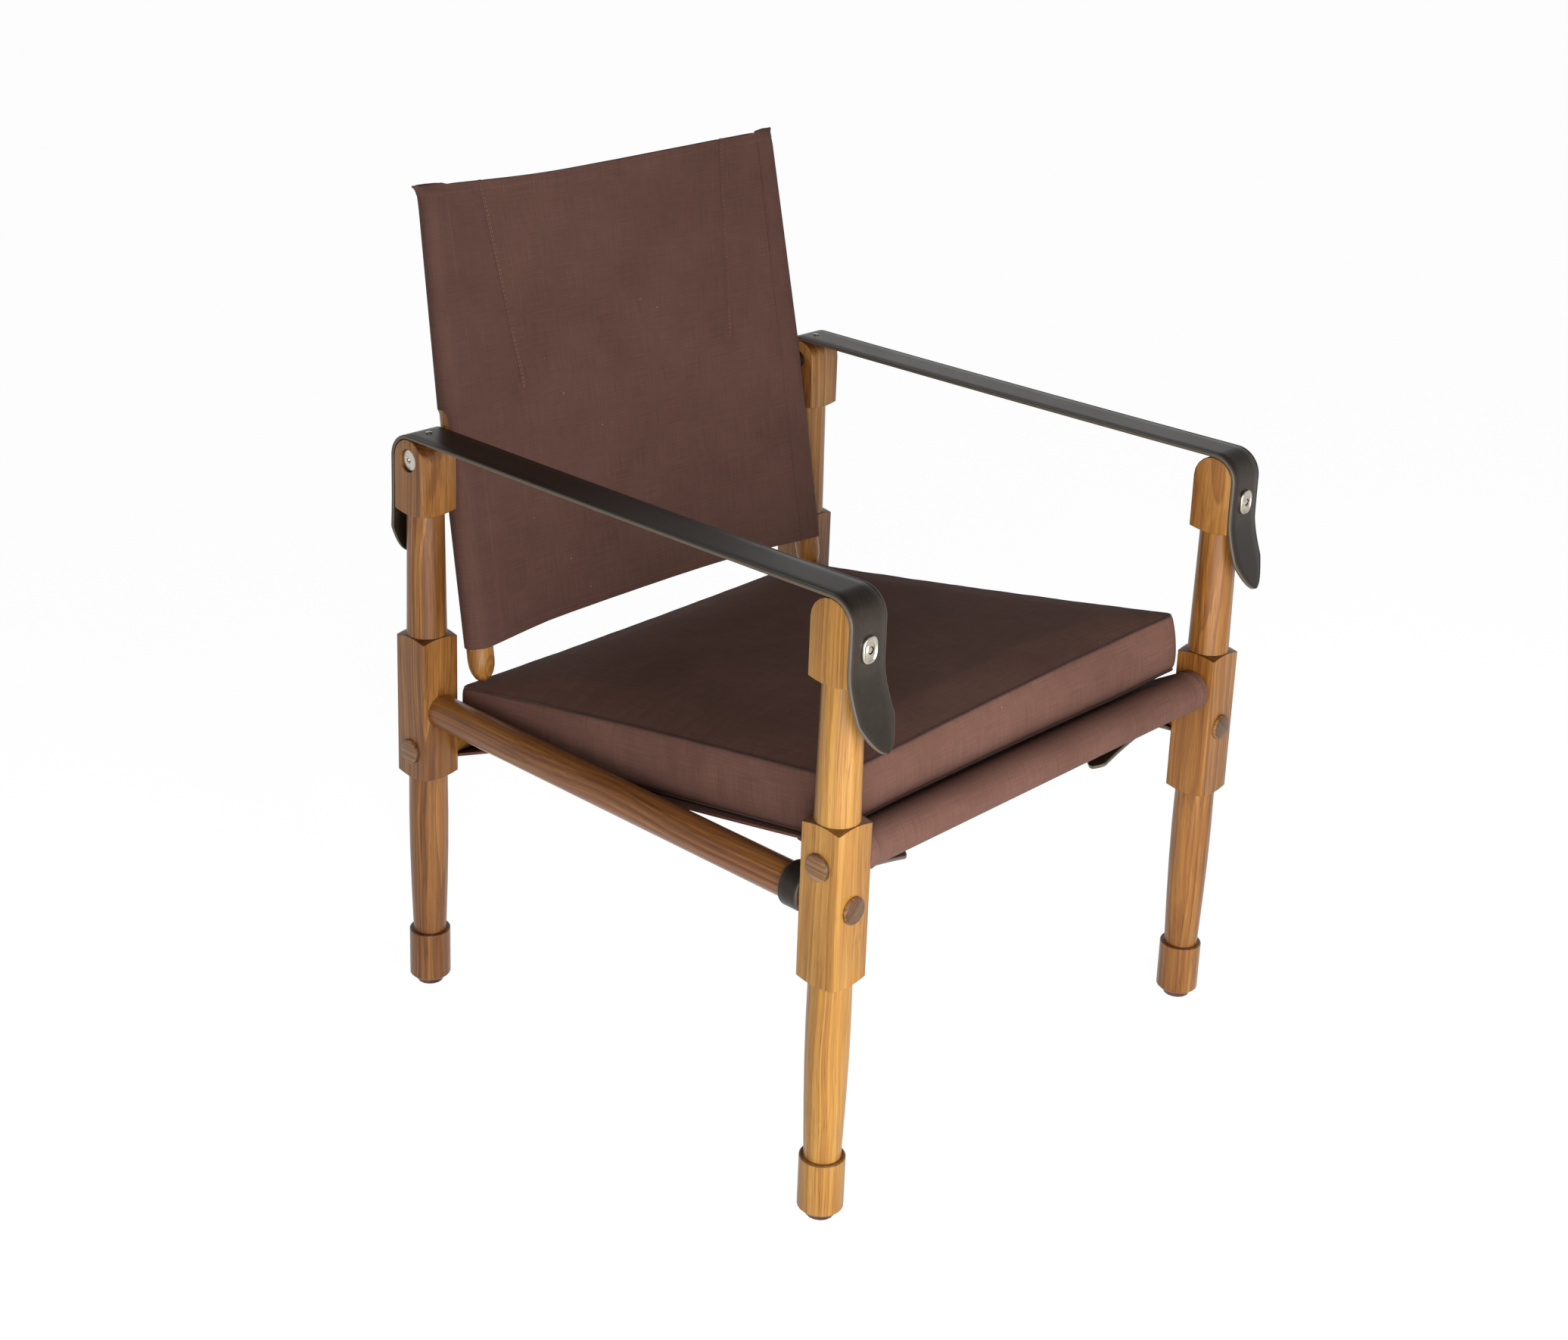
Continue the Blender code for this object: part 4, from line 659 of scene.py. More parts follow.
def back_profile(height):
    """Cross path of the cloth at a height, round one post, over the panel and round the other.

    Each point is (x, depth, side, extra). On a sleeve, side is 2 for its front layer and 1 for its rear one, negative
    on the left, and extra is its spread in the top seam. On the panel side is 0, and extra is how proud a fold stands.
    """
    inner, proud = dart_line(height)
    outer = inner + DART_WIDTH
    half = [(POST_X + (outer - POST_X) * (1 - share) ** 1.6, 0.0) for share in arc(0.0, 1.0, 24)[1:-1]]
    fold = [(outer, 0.0), (outer - 0.0007, proud), (inner + 0.0006, proud * 0.8), (inner, 0.0)]
    panel = [(-x, lift) for x, lift in reversed(half)] + [(-x, lift) for x, lift in fold]
    panel += [(x, 0.0) for x in arc(-inner, inner, 60)[1:-1]]
    panel += [(x, lift) for x, lift in reversed(fold)] + half
    radius = sleeve_radius(height)
    sleeve = [(POST_X + x, depth, 2 if step <= SLEEVE_OUTERMOST else 1, spread)
              for step, (x, depth, spread) in enumerate(sleeve_section(radius))]
    points = [(-x, depth, -side, spread) for x, depth, side, spread in reversed(sleeve)]
    return points + [(x, -radius, 0, lift) for x, lift in panel] + sleeve


def cloth_ripple(x, height):
    """Slack waves in the panel."""
    slow = noise.noise(Vector((x * 7.0, height * 3.5, 3.1))) * 0.0016
    fine = noise.noise(Vector((x * 30.0, height * 9.0, 7.7))) * 0.00030
    return slow + fine


def panel_setback(x, height):
    """How far behind the front of the sleeves the panel lies; it falls off from each sleeve to the dart beside it."""
    outer = dart_line(height)[0] + DART_WIDTH
    inward = max(0.0, POST_X - abs(x))
    share = min(1.0, inward * inward / (inward + 0.008) / (POST_X - outer - 0.007))
    return PANEL_SETBACK * (1 - (1 - share) ** 1.2)


def top_seam_depth(x, height, radius):
    """Depth of the flat top seam: on the panel between the posts, drawn back over each of them."""
    panel = -radius + panel_setback(x, height)
    share = ease((abs(x) - POST_X + SEAM_RUN) / (SEAM_HALF_WIDTH + SEAM_RUN))
    return panel + (SEAM_REAR - panel) * share


def back_point(x, depth, side, extra, height, low):
    """Place in the back's own frame of one point of a profile; above the shoulder the sleeves close to the top seam."""
    share = (height - low) / (BACK_TOP - low)
    across = min(1.0, abs(x) / POST_X)
    centre = 1 - across * across
    closing = 0.0
    if height > BACK_SHOULDER:
        closing = 1 - math.sqrt(max(0.0, 1 - ((height - BACK_SHOULDER) / (BACK_TOP - BACK_SHOULDER)) ** 2))
    radius = sleeve_radius(height)
    if side:
        seam_x = math.copysign(POST_X + SEAM_HALF_WIDTH * extra, side)
        layer = -SEAM_HALF_DEPTH if abs(side) == 2 else SEAM_HALF_DEPTH
        x += (seam_x - x) * closing
        depth += (top_seam_depth(seam_x, height, radius) + layer - depth) * closing
    else:
        depth += panel_setback(x, height)
        depth += (top_seam_depth(x, height, radius) - SEAM_HALF_DEPTH - depth) * closing
        depth += cloth_ripple(x, height) * ease((1 - across) * 6) * (1 - 0.5 * closing) - extra
    scoop = BACK_SCOOP * centre * max(0.0, 1 - 4 * share)
    slack = noise.noise(Vector((x * 5.0, 0.0, 9.4))) * 0.0022 + BACK_TOP_DIP * centre ** 0.75
    rise = scoop - slack * ease(5 * share - 4) * ease((1 - across) * 12)
    if not side:
        rise += 0.0004 * extra / DART_PROUD * ease((height - BACK_TOP + 0.012) / 0.012)
    x -= height * math.tan(POST_TOE_IN) * math.copysign(across, x)
    return Vector((x, depth, height + rise))


def back_heights(low):
    """Heights of the rows of the back's mesh, closer together at the hems."""
    hem = low + BACK_HEM
    top_hem = BACK_TOP - BACK_HEM
    ends = (low, hem, hem + HEM_EDGE, WINDOW_BOTTOM, WINDOW_TOP, BACK_SHOULDER, top_hem - HEM_EDGE, top_hem,
            BACK_TOP - 0.001, BACK_TOP)
    heights = [low]
    for start, end, steps in zip(ends, ends[1:], (4, 1, 22, 18, 34, 10, 1, 8, 2)):
        heights += arc(start, end, steps)[1:]
    return heights


def rounded_outline(half_width, half_height, power, steps):
    """Points of an oval with fuller corners than an ellipse."""
    def fuller(value):
        return math.copysign(abs(value) ** (2 / power), value)

    turns = arc(0.0, 2 * math.pi, steps)[:-1]
    return [(half_width * fuller(math.cos(turn)), half_height * fuller(math.sin(turn))) for turn in turns]


def cut_window(item, sign):
    """Cut the opening that lets the pivot through one sleeve."""
    outward = Vector((sign * math.cos(WINDOW_TURN), math.sin(WINDOW_TURN), 0))
    sideways = Vector((-sign * math.sin(WINDOW_TURN), math.cos(WINDOW_TURN), 0))
    centre = Vector((sign * POST_X, 0, (WINDOW_TOP + WINDOW_BOTTOM) / 2))
    outline = rounded_outline(WINDOW_HALF_WIDTH, (WINDOW_TOP - WINDOW_BOTTOM) / 2, 5.0, 72)
    rows = []
    for reach in (0.0, WINDOW_REACH):
        rows.append([BACK_FRAME @ (centre + outward * reach + sideways * u + Vector((0, 0, v))) for u, v in outline])
    tool = add_object("window", grid_mesh("window", rows, lambda r, c: (0.0, 0.0), True, cap_ends))
    opening = item.modifiers.new("window", "BOOLEAN")
    opening.operation = "DIFFERENCE"
    opening.solver = "EXACT"
    opening.object = tool
    bake(item)
    bpy.data.objects.remove(tool, do_unlink=True)


def build_back_canvas(materials):
    low = back_bottom() + CLOTH_EASE
    heights = back_heights(low)
    rows = []
    for height in heights:
        rows.append([BACK_FRAME @ back_point(*place, height, low) for place in back_profile(height)])
    widths = path_length([Vector((x, depth, 0)) for x, depth, side, extra in back_profile(low)])
    mesh = grid_mesh("back_cloth", rows, lambda r, c: (widths[c], heights[r]))
    item = put("back_cloth", mesh, materials["canvas_back"], "backrest")
    inverse = BACK_FRAME.inverted()

    def hemmed(co):
        """Along the lower and upper edges, but not where the legs are close outside the sleeves."""
        height = (inverse @ co).z
        centre = 1 - min(1.0, abs(co.x) / POST_X) ** 2
        if height < 0 and abs(co.x) > POST_X + 0.010:
            return False
        return height - low < BACK_HEM + 0.0002 + BACK_SCOOP * centre or height > BACK_TOP - BACK_HEM - 0.0075 * centre

    thicken(item, CANVAS_THICKNESS, CANVAS_THICKNESS + BACK_HEM_EXTRA, hemmed)
    for sign in (-1, 1):
        cut_window(item, sign)
    sharpen(item, 50)
    set_wear(item, lambda co: 0.5 * ease(1 - (BACK_TOP - (inverse @ co).z) / 0.005))
    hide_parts("back_canvas")
    thread = stitches("back_stitching", back_stitch_lines(low), materials["thread"], "backrest")


def back_front(x, height, low):
    """Point and normal on the front face of the panel."""
    inner, proud = dart_line(height)
    fold = proud if inner < abs(x) < inner + DART_WIDTH else 0.0
    point = back_point(x, -sleeve_radius(height), 0, fold, height, low)
    point.y -= CANVAS_THICKNESS / 2
    return BACK_FRAME @ point, BACK_FRAME.to_3x3() @ Vector((0, -1, 0))


def back_stitch_lines(low):
    """Two rows along each dart and one along each hem."""
    lines = []
    for side in (-1, 1):
        for inset in (DART_STITCH_INSET, DART_WIDTH - DART_STITCH_INSET):
            heights = arc(DART_LOW, BACK_TOP - 0.004, 44)
            lines.append([back_front(side * (dart_line(height)[0] + inset), height, low) for height in heights])
    for height in (BACK_TOP - BACK_HEM + 0.001, low + BACK_HEM - 0.001):
        lines.append([back_front(x, height, low) for x in arc(-HEM_STITCH_REACH, HEM_STITCH_REACH, 80)])
    return lines


# Seat sling

SLEEVE_TAIL = 0.052
SEAM_LAP = 0.012
SLING_SAG = 0.0040
SLING_DISH = 0.0020
SLING_HALF_WIDTH = INNER_X - 0.0020
SLING_HEM = 0.0105
SLING_HEM_THICKNESS = 0.0026
SLING_HEM_EDGE = 0.0009
SLING_STITCH_INSET = 0.009
SLEEVE_RADIUS = RAIL_RADIUS + CLOTH_EASE + SLING_HEM_THICKNESS / 2


def sling_height(across, y):
    """Height of the sling's middle surface; across runs from -1 to 1 over its width."""
    share = (y - FRONT_Y) / (REAR_Y - FRONT_Y)
    inside = (y - FRONT_Y - SLEEVE_TAIL) / (REAR_Y - FRONT_Y - 2 * SLEEVE_TAIL)
    dish = max(0.0, 4 * SLING_DISH * inside * (1 - inside) * (1 - across * across))
    height = FRONT_RAIL_Z + (REAR_RAIL_Z - FRONT_RAIL_Z) * share
    return height - 4 * SLING_SAG * share * (1 - share) - dish


def sling_profile(x):
    """Path of the cloth at x: from its front seam round the front rail, over the panel and round the rear rail."""
    across = x / SLING_HALF_WIDTH
    reach = math.acos(SLEEVE_RADIUS / SLEEVE_TAIL)
    thick = SLING_THICKNESS / 2
    panel = arc(FRONT_Y + SLEEVE_TAIL, REAR_Y - SLEEVE_TAIL, 60)

    def seam(y):
        return Vector((x, y, sling_height(across, y) - thick))

    def sleeve(y, z, start, end):
        turns = arc(end - SEAT_ANGLE, start - SEAT_ANGLE, 44)
        return [Vector((x, y, z)) + heading(turn) * SLEEVE_RADIUS for turn in turns]

    points = [seam(panel[0] + SEAM_LAP)]
    points += sleeve(FRONT_Y, FRONT_RAIL_Z, reach, 2 * math.pi - reach)
    points += [Vector((x, y, sling_height(across, y) + thick * 0.2)) for y in panel]
    points += sleeve(REAR_Y, REAR_RAIL_Z, math.pi + reach, 3 * math.pi - reach)
    return points + [seam(panel[-1] - SEAM_LAP)]


def build_sling(materials):
    hem_end = SLING_HEM + SLING_HEM_EDGE
    edge_steps = [0.0, HEM_EDGE, SLING_HEM * 0.4, SLING_HEM * 0.7, SLING_HEM, hem_end]
    places = [-SLING_HALF_WIDTH + step for step in edge_steps]
    places += arc(-SLING_HALF_WIDTH + hem_end, SLING_HALF_WIDTH - hem_end, 60)[1:-1]
    places += [SLING_HALF_WIDTH - step for step in reversed(edge_steps)]
    rows = [sling_profile(x) for x in places]
    lengths = path_length(rows[len(rows) // 2])
    mesh = grid_mesh("sling_cloth", rows, lambda r, c: (places[r], lengths[c]))
    item = put("sling_cloth", mesh, materials["canvas"], "frame")
    thicken(item, CANVAS_THICKNESS, SLING_HEM_THICKNESS, lambda co: abs(co.x) > SLING_HALF_WIDTH - SLING_HEM - 0.0002)
    set_wear(item, lambda co: ease(1 - (SLING_HALF_WIDTH - abs(co.x)) / 0.003) * 0.5)
    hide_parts("seat_sling")
    lines = []
    reach = SLEEVE_RADIUS + SLING_HEM_THICKNESS / 2
    for side in (-1, 1):
        for y, z, turn in ((FRONT_Y, FRONT_RAIL_Z, 0.0), (REAR_Y, REAR_RAIL_Z, math.pi)):
            centre = Vector((side * (SLING_HALF_WIDTH - SLING_STITCH_INSET), y, z))
            normals = [heading(angle + turn - SEAT_ANGLE) for angle in arc(0.9, 5.3, 60)]
            lines.append([(centre + normal * reach, normal) for normal in normals])
    thread = stitches("sling_stitching", lines, materials["thread"], "frame")


# Seat cushion

CUSHION_THICKNESS = 0.052
CUSHION_SIDE = INNER_X - 0.0040
CUSHION_FRONT = FRONT_Y + 0.0170
CUSHION_REAR = REAR_Y - 0.0275
CUSHION_CORNER = 0.008
CUSHION_WAIST = 0.0050
CUSHION_CROWN = 0.0150
CUSHION_LEFT_SEAM = (0.0610, 0.1588)
CUSHION_RIGHT_SEAM = (0.0682, 0.1770)
CUSHION_RUN = 0.125
CUSHION_FRONT_LIFT = 0.0192
CUSHION_REAR_LIFT = 0.0090
CUSHION_FRONT_DROOP = 0.0034
CUSHION_LEFT_LIFT = 0.0020
CUSHION_LEFT_RISE = 0.0128
CUSHION_LEFT_RUN = 0.038
CUSHION_STEPS = 80
CORD_RADIUS = 0.0006
CORD_SIDES = 6

# Cloth simulation: how far it lifts the top, the most that any vertex may move, and its settings
SWELL = 0.0040
SWELL_CAP = 0.0055
SWELL_FRAMES = 20
SWELL_SETTINGS = {"quality": 5, "mass": 0.02, "use_pressure": True, "uniform_pressure_force": 4.0,
                  "vertex_group_mass": "hold", "shrink_min": -0.004, "bending_stiffness": 0.05}

# Sides of the cushion from the lower seam to the upper one: level, bulge, hold in the simulation, and seam shadow
CUSHION_WALL = (
    (0.0, 0.0, 1.0, 0.3), (0.030, -0.0014, 1.0, 1.0), (0.070, 0.0008, 0.3, 0.25), (0.18, 0.0020, 0.0, 0.1),
    (0.32, 0.0026, 0.0, 0.05), (0.47, 0.0028, 0.0, 0.0), (0.62, 0.0027, 0.0, 0.0), (0.77, 0.0022, 0.0, 0.0),
    (0.89, 0.0015, 0.0, 0.0), (0.95, 0.0009, 0.4, 0.0), (0.982, 0.0, 1.0, 0.25), (1.0, -0.0010, 0.97, 0.75),
)


def cushion_bottom(across, y):
    """Height of the underside, which climbs over the front rail; its left edge sags further forward."""
    from_front = max(0.0, 1 - (y - CUSHION_FRONT) / CUSHION_RUN)
    from_rear = max(0.0, 1 - (CUSHION_REAR - y) / CUSHION_RUN)
    droop = CUSHION_FRONT_DROOP * from_front ** 2 * (1 - ease((across - 0.6) / 0.35))
    lift = CUSHION_FRONT_LIFT * from_front ** 1.15 - droop
    near_edge = max(0.0, 1 - (y - CUSHION_FRONT) / CUSHION_LEFT_RUN)
    left = CUSHION_LEFT_LIFT * ease((CUSHION_REAR - y) / CUSHION_RUN) + CUSHION_LEFT_RISE * near_edge ** 1.2
    lift += (left - lift) * ease((-across - 0.72) / 0.22)
    return sling_height(across, y) + SLING_THICKNESS / 2 + 0.0006 + lift + CUSHION_REAR_LIFT * from_rear ** 2


def cushion_seam(across, y):
    """Height of the upper seam over a point of the underside; the right side is filled a little more."""
    left, right = (REAR_RAIL_Z + start + slope * (CUSHION_REAR - y)
                   for start, slope in (CUSHION_LEFT_SEAM, CUSHION_RIGHT_SEAM))
    return left + (right - left) * (across + 1) / 2


def cushion_point(across, along_share, level, outward=0.0):
    """Point between the underside, level 0, and the upper seam, level 1; the shares run from -1 to 1."""
    half_depth = (CUSHION_REAR - CUSHION_FRONT) / 2
    x = CUSHION_SIDE * across
    y = half_depth * along_share
    near_side = max(0.0, abs(x) - (CUSHION_SIDE - CUSHION_CORNER)) / CUSHION_CORNER
    near_end = max(0.0, abs(y) - (half_depth - CUSHION_CORNER)) / CUSHION_CORNER
    cut = CUSHION_CORNER * (1 - 1 / math.sqrt(2)) * min(near_side, near_end)
    x -= math.copysign(cut, x) + CUSHION_WAIST * across ** 3 * (1 - along_share ** 2)
    y -= math.copysign(cut, y) + CUSHION_WAIST * along_share ** 3 * (1 - across ** 2)
    y += (CUSHION_FRONT + CUSHION_REAR) / 2
    bottom = cushion_bottom(across, y)
    z = bottom + (cushion_seam(across, y) - bottom) * level
    reach = max(abs(across), abs(along_share))
    if outward and abs(across) == reach:
        x += outward * across
    if outward and abs(along_share) == reach:
        y += outward * along_share
    return Vector((x, y + CUSHION_THICKNESS * level * math.sin(SEAT_ANGLE), z))


def inflate(item, hold):
    """Blow a closed pad up with cloth simulation; hold says how firmly each vertex stays."""
    group = item.vertex_groups.new(name="hold")
    for index, share in enumerate(hold):
        group.add([index], share, "REPLACE")
    start = [vert.co.copy() for vert in item.data.vertices]
    swell = item.modifiers.new("swell", "CLOTH")
    for key, value in SWELL_SETTINGS.items():
        setattr(swell.settings, key, value)
    swell.settings.effector_weights.gravity = 0.0
    swell.collision_settings.use_collision = False
    swell.point_cache.frame_start = 1
    swell.point_cache.frame_end = SWELL_FRAMES
    for step in range(1, SWELL_FRAMES + 1):
        bpy.context.scene.frame_set(step)
    bake(item)
    bpy.context.scene.frame_set(1)
    for vert, place in zip(item.data.vertices, start):
        move = vert.co - place
        if move.length > SWELL_CAP:
            vert.co = place + move * (SWELL_CAP / move.length)
    item.vertex_groups.clear()


def pucker(place, distance):
    """Small gathers that fade out away from a seam."""
    gather = noise.noise(Vector((place.x * 95.0, place.y * 95.0, 2.0)))
    slow = noise.noise(Vector((place.x * 30.0, place.y * 30.0, 5.0)))
    return (0.0004 * gather + 0.0006 * slow) * math.exp(-distance / 0.010)


def seam_cords(name, loops):
    """Dark recessed lines of thread and shadow along closed seams."""
    bm = bmesh.new()
    for loop in loops:
        rings = []
        for index, place in enumerate(loop):
            run = (loop[(index + 1) % len(loop)] - loop[index - 1]).normalized()
            side = run.cross(Vector((0, 0, 1))).normalized()
            rings.append(ring(bm, place, side, side.cross(run), CORD_RADIUS, CORD_SIDES))
        join_rings(bm, [rings[-1]] + rings)
    return make_mesh(bm, name)


def build_cushion(materials):
    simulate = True
    crown_height = CUSHION_CROWN - (SWELL if simulate else 0.0)
    steps = CUSHION_STEPS
    shares = [math.sin(math.pi / 2 * share) * 0.35 + share * 0.65 for share in arc(-1.0, 1.0, steps)]
    bm = bmesh.new()
    layer = bm.loops.layers.uv.new("cloth")
    top = {}
    bottom = {}
    hold = []
    shade = []
    for i, across in enumerate(shares):
        for j, along_share in enumerate(shares):
            crown = crown_height * max(0.0, (1 - across ** 2) * (1 - along_share ** 2)) ** 0.42
            place = cushion_point(across, along_share, 1.0)
            inside = CUSHION_SIDE * min(1 - abs(across), 1 - abs(along_share))
            place.z += crown + pucker(place, inside)
            place.z += noise.noise(Vector((place.x * 9.0, place.y * 9.0, 4.0))) * 0.0010 * min(1.0, inside / 0.03)
            top[i, j] = bm.verts.new(place)
            bottom[i, j] = bm.verts.new(cushion_point(across, along_share, 0.0))
            border = inside < 0.0001
            hold += [0.97 if border else 0.0, 1.0]
            shade += [0.75 if border else 0.0, 0.0]
    for i in range(steps):
        for j in range(steps):
            for grid, order in ((top, ((0, 0), (1, 0), (1, 1), (0, 1))), (bottom, ((0, 0), (0, 1), (1, 1), (1, 0)))):
                face = bm.faces.new([grid[i + a, j + b] for a, b in order])
                for loop, (a, b) in zip(face.loops, order):
                    loop[layer].uv = (shares[i + a] * CUSHION_SIDE, shares[j + b] * CUSHION_SIDE)
    edge = [(i, 0) for i in range(steps)] + [(steps, j) for j in range(steps)]
    edge += [(i, steps) for i in range(steps, 0, -1)] + [(0, j) for j in range(steps, 0, -1)]
    rows = [[bottom[key] for key in edge]]
    for level, outward, held, depth in CUSHION_WALL[1:-1]:
        rows.append([bm.verts.new(cushion_point(shares[i], shares[j], level, outward)) for i, j in edge])
        hold += [held] * len(edge)
        shade += [depth] * len(edge)
    rows.append([top[key] for key in edge])
    around = path_length([Vector(vert.co) for vert in rows[0] + rows[0][:1]])
    join_rows(bm, layer, rows, lambda r, c: (around[c], CUSHION_WALL[r][0] * CUSHION_THICKNESS), True)
    item = put("cushion", make_mesh(bm, "cushion"), materials["canvas"], "cushion", 0)
    if simulate:
        inflate(item, hold)
    store(item, "shade", shade)
    store(item, "wear_and_edge_highlight", [0.0] * len(shade))
    item.modifiers.new("finer", "SUBSURF").levels = 1
    bake(item)
    item.data.shade_smooth()
    loops = []
    for under in (0, 1):
        loops.append([item.data.vertices[2 * (i * (steps + 1) + j) + under].co.copy() for i, j in edge])
    put("cushion_seams", seam_cords("cushion_seams", loops), materials["seam"], "cushion")
    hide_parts("seat_cushion")


# Leather straps

STRAP_CLEARANCE = 0.0003
STRAP_OFFSET = LEG_HALF + STRAP_CLEARANCE + STRAP_THICKNESS / 2
STRAP_DRAPE = 0.0008
SWAY_RUN = 0.075
THIGH_WIDTH = 0.022
THIGH_LAP_RUN = 0.040
THIGH_LAP_LENGTH = 0.018
THIGH_TONGUE_LENGTH = 0.074
THIGH_TONGUE_DROP = 0.0195
THIGH_LEFT_DROP = 0.0125
THIGH_TONGUE_POINT = 0.009

# A strap's long edge with its crease: inset from the side, share of the half thickness, and painted edge highlight
EDGE_SECTION = ((0.0, 0.0, 1.0), (0.0002, 0.5, 1.0), (0.0007, 0.84, 0.8), (0.0014, 1.0, 0.25), (0.0024, 1.0, 0.0),
                (0.0031, 0.86, 0.15), (0.0038, 1.0, 0.0))

# Free end of an arm strap: its way from the leg, drop, flare, length of the flare, sway and length of the point
REAR_TONGUE = (1, 0.102, 0.0030, 0.062, 0.0, 0.030)
FRONT_TONGUES = {"left": (-1, 0.109, 0.0195, 0.066, 0.0080, 0.027), "right": (-1, 0.106, 0.0195, 0.066, 0.0040, 0.027)}


def strap_piece(name, path, half_widths, across, material):
    """Strap along a path, with rounded and creased long edges; the width runs along the given axis."""
    across = Vector(across)
    rows = []
    wear_and_edge_highlight = []
    for index, point in enumerate(path):
        before = path[max(index - 1, 0)]
        after = path[min(index + 1, len(path) - 1)]
        normal = (after - before).cross(across).normalized() * STRAP_THICKNESS / 2
        half = half_widths[index]
        scale = min(1.0, half / 0.0060)
        quarter = [(half - inset * scale, rise, edge_highlight) for inset, rise, edge_highlight in EDGE_SECTION]
        quarter += [((half - EDGE_SECTION[-1][0] * scale) * share, 1.0, 0.0) for share in (0.6, 0.2)]
        upper = quarter + [(-side, rise, edge_highlight) for side, rise, edge_highlight in reversed(quarter)]
        ring = upper + [(side, -rise, edge_highlight) for side, rise, edge_highlight in reversed(upper[1:-1])]
        rows.append([point + across * side + normal * rise for side, rise, edge_highlight in ring])
        wear_and_edge_highlight.append([edge_highlight for side, rise, edge_highlight in ring])
    # Painted highlight along the strap's edges, stored for its material; its ends get the full highlight too
    for line in (wear_and_edge_highlight[0], wear_and_edge_highlight[-1]):
        line[:] = [1.0] * len(line)
    lengths = path_length(path)
    mesh = grid_mesh(name, rows, lambda r, c: (c * 0.004, lengths[r]), True, cap_ends)
    item = put(name, mesh, material, "frame", 60.0)
    store(item, "wear_and_edge_highlight", [value for line in wear_and_edge_highlight for value in line])
    return item


def tongue_width(left, point_length, width):
    """Half width of a strap at a distance from its tip."""
    return width / 2 * math.sqrt(max(min(1.0, left / point_length), 0.0012))


def tongue(line, way, drop, flare, flare_length, sway, point_length):
    """Hanging end of an arm strap, tip first: its points and half widths."""
    points = []
    widths = []
    for share in arc(0.0, 1.0, 44):
        left = drop * share ** 1.7
        bend = max(0.0, 1 - left / flare_length) ** 1.5
        aside = sway * max(0.0, 1 - left / SWAY_RUN) ** 1.3
        points.append(Vector((aside, line + way * flare * bend, PIVOT.z - drop + left)))
        widths.append(tongue_width(left, point_length, STRAP_WIDTH) * (1 - 0.03 * ease(left / drop)))
    return points, widths


def build_arm_straps(materials):
    """Each strap from its rear end over both leg tops to its front end."""
    for name, sign in (("left", -1), ("right", 1)):
        path, widths = tongue(REAR_Y + STRAP_OFFSET, *REAR_TONGUE)
        front, front_widths = tongue(FRONT_Y - STRAP_OFFSET, *FRONT_TONGUES[name])
        turns = arc(0, math.pi / 2, 14)[1:]
        path += [Vector((0, REAR_Y, PIVOT.z)) + heading(turn) * STRAP_OFFSET for turn in turns]
        for share in arc(0.0, 1.0, 12)[1:-1]:
            drape = STRAP_DRAPE * 4 * share * (1 - share)
            path.append(Vector((0, REAR_Y + (FRONT_Y - REAR_Y) * share, PIVOT.z + STRAP_OFFSET - drape)))
        path += [Vector((0, FRONT_Y, PIVOT.z)) + heading(math.pi - turn) * STRAP_OFFSET for turn in turns[::-1]]
        widths += [widths[-1]] * (len(path) - len(widths)) + front_widths[::-1]
        path = [point + Vector((sign * LEG_X, 0, 0)) for point in path + front[::-1]]
        item = strap_piece(f"strap_{name}", path, widths, (1, 0, 0), materials["leather"])
        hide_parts(f"arm_strap_{name}")


def build_thigh_strap(materials):
    """Strap under the front of the seat: each end goes round a side rail and hangs as a tongue under it."""
    radius = RAIL_RADIUS + STRAP_CLEARANCE + STRAP_THICKNESS / 2
    lap = LEG_X - THIGH_LAP_RUN
    lap_end = lap - THIGH_LAP_LENGTH
    spread = (STRAP_THICKNESS + STRAP_CLEARANCE) / 2
    turn = math.pi - math.acos((radius - spread) / THIGH_LAP_RUN)
    half = [(x, spread) for x in arc(0.0, lap, 20)]
    half += [(LEG_X + radius * math.cos(angle), radius * math.sin(angle)) for angle in arc(turn, -turn, 48)]
    half += [(x, -spread) for x in arc(lap, lap_end, 6)[:-1]]
    widths = [THIGH_WIDTH / 2] * len(half)
    for step in arc(0.0, 1.0, 40):
        share = 1 - (1 - step) ** 1.7
        half.append((lap_end - THIGH_TONGUE_LENGTH * share, -spread - THIGH_TONGUE_DROP * share ** 1.4))
        widths.append(tongue_width(THIGH_TONGUE_LENGTH * (1 - share), THIGH_TONGUE_POINT, THIGH_WIDTH))
    other = []
    for x, z in half[1:]:
        hanging = max(0.0, -spread - z) if x < lap_end else 0.0
        other.append((-x, z + hanging * (1 - THIGH_LEFT_DROP / THIGH_TONGUE_DROP)))
    line = middle("thigh_strap").y
    path = [Vector((x, line, SIDE_RAIL_Z + z)) for x, z in other[::-1] + half]
    item = strap_piece("seat_strap", path, widths[:0:-1] + widths, (0, 1, 0), materials["leather"])
    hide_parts("thigh_strap")


# Snap plates: share of the way from the hole to the rim, and height over the strap

PLATE_PROFILE = (
    (1.0, 0.0), (1.0, 0.0006), (0.985, 0.0013), (0.95, 0.0019), (0.90, 0.0022), (0.85, 0.0021), (0.80, 0.0017),
    (0.74, 0.0012), (0.64, 0.0010), (0.56, 0.0011), (0.50, 0.0016), (0.44, 0.0020), (0.385, 0.0020), (0.35, 0.0014),
    (0.33, 0.0003),
)
PLATE_HOLE_RADIUS = 0.0034


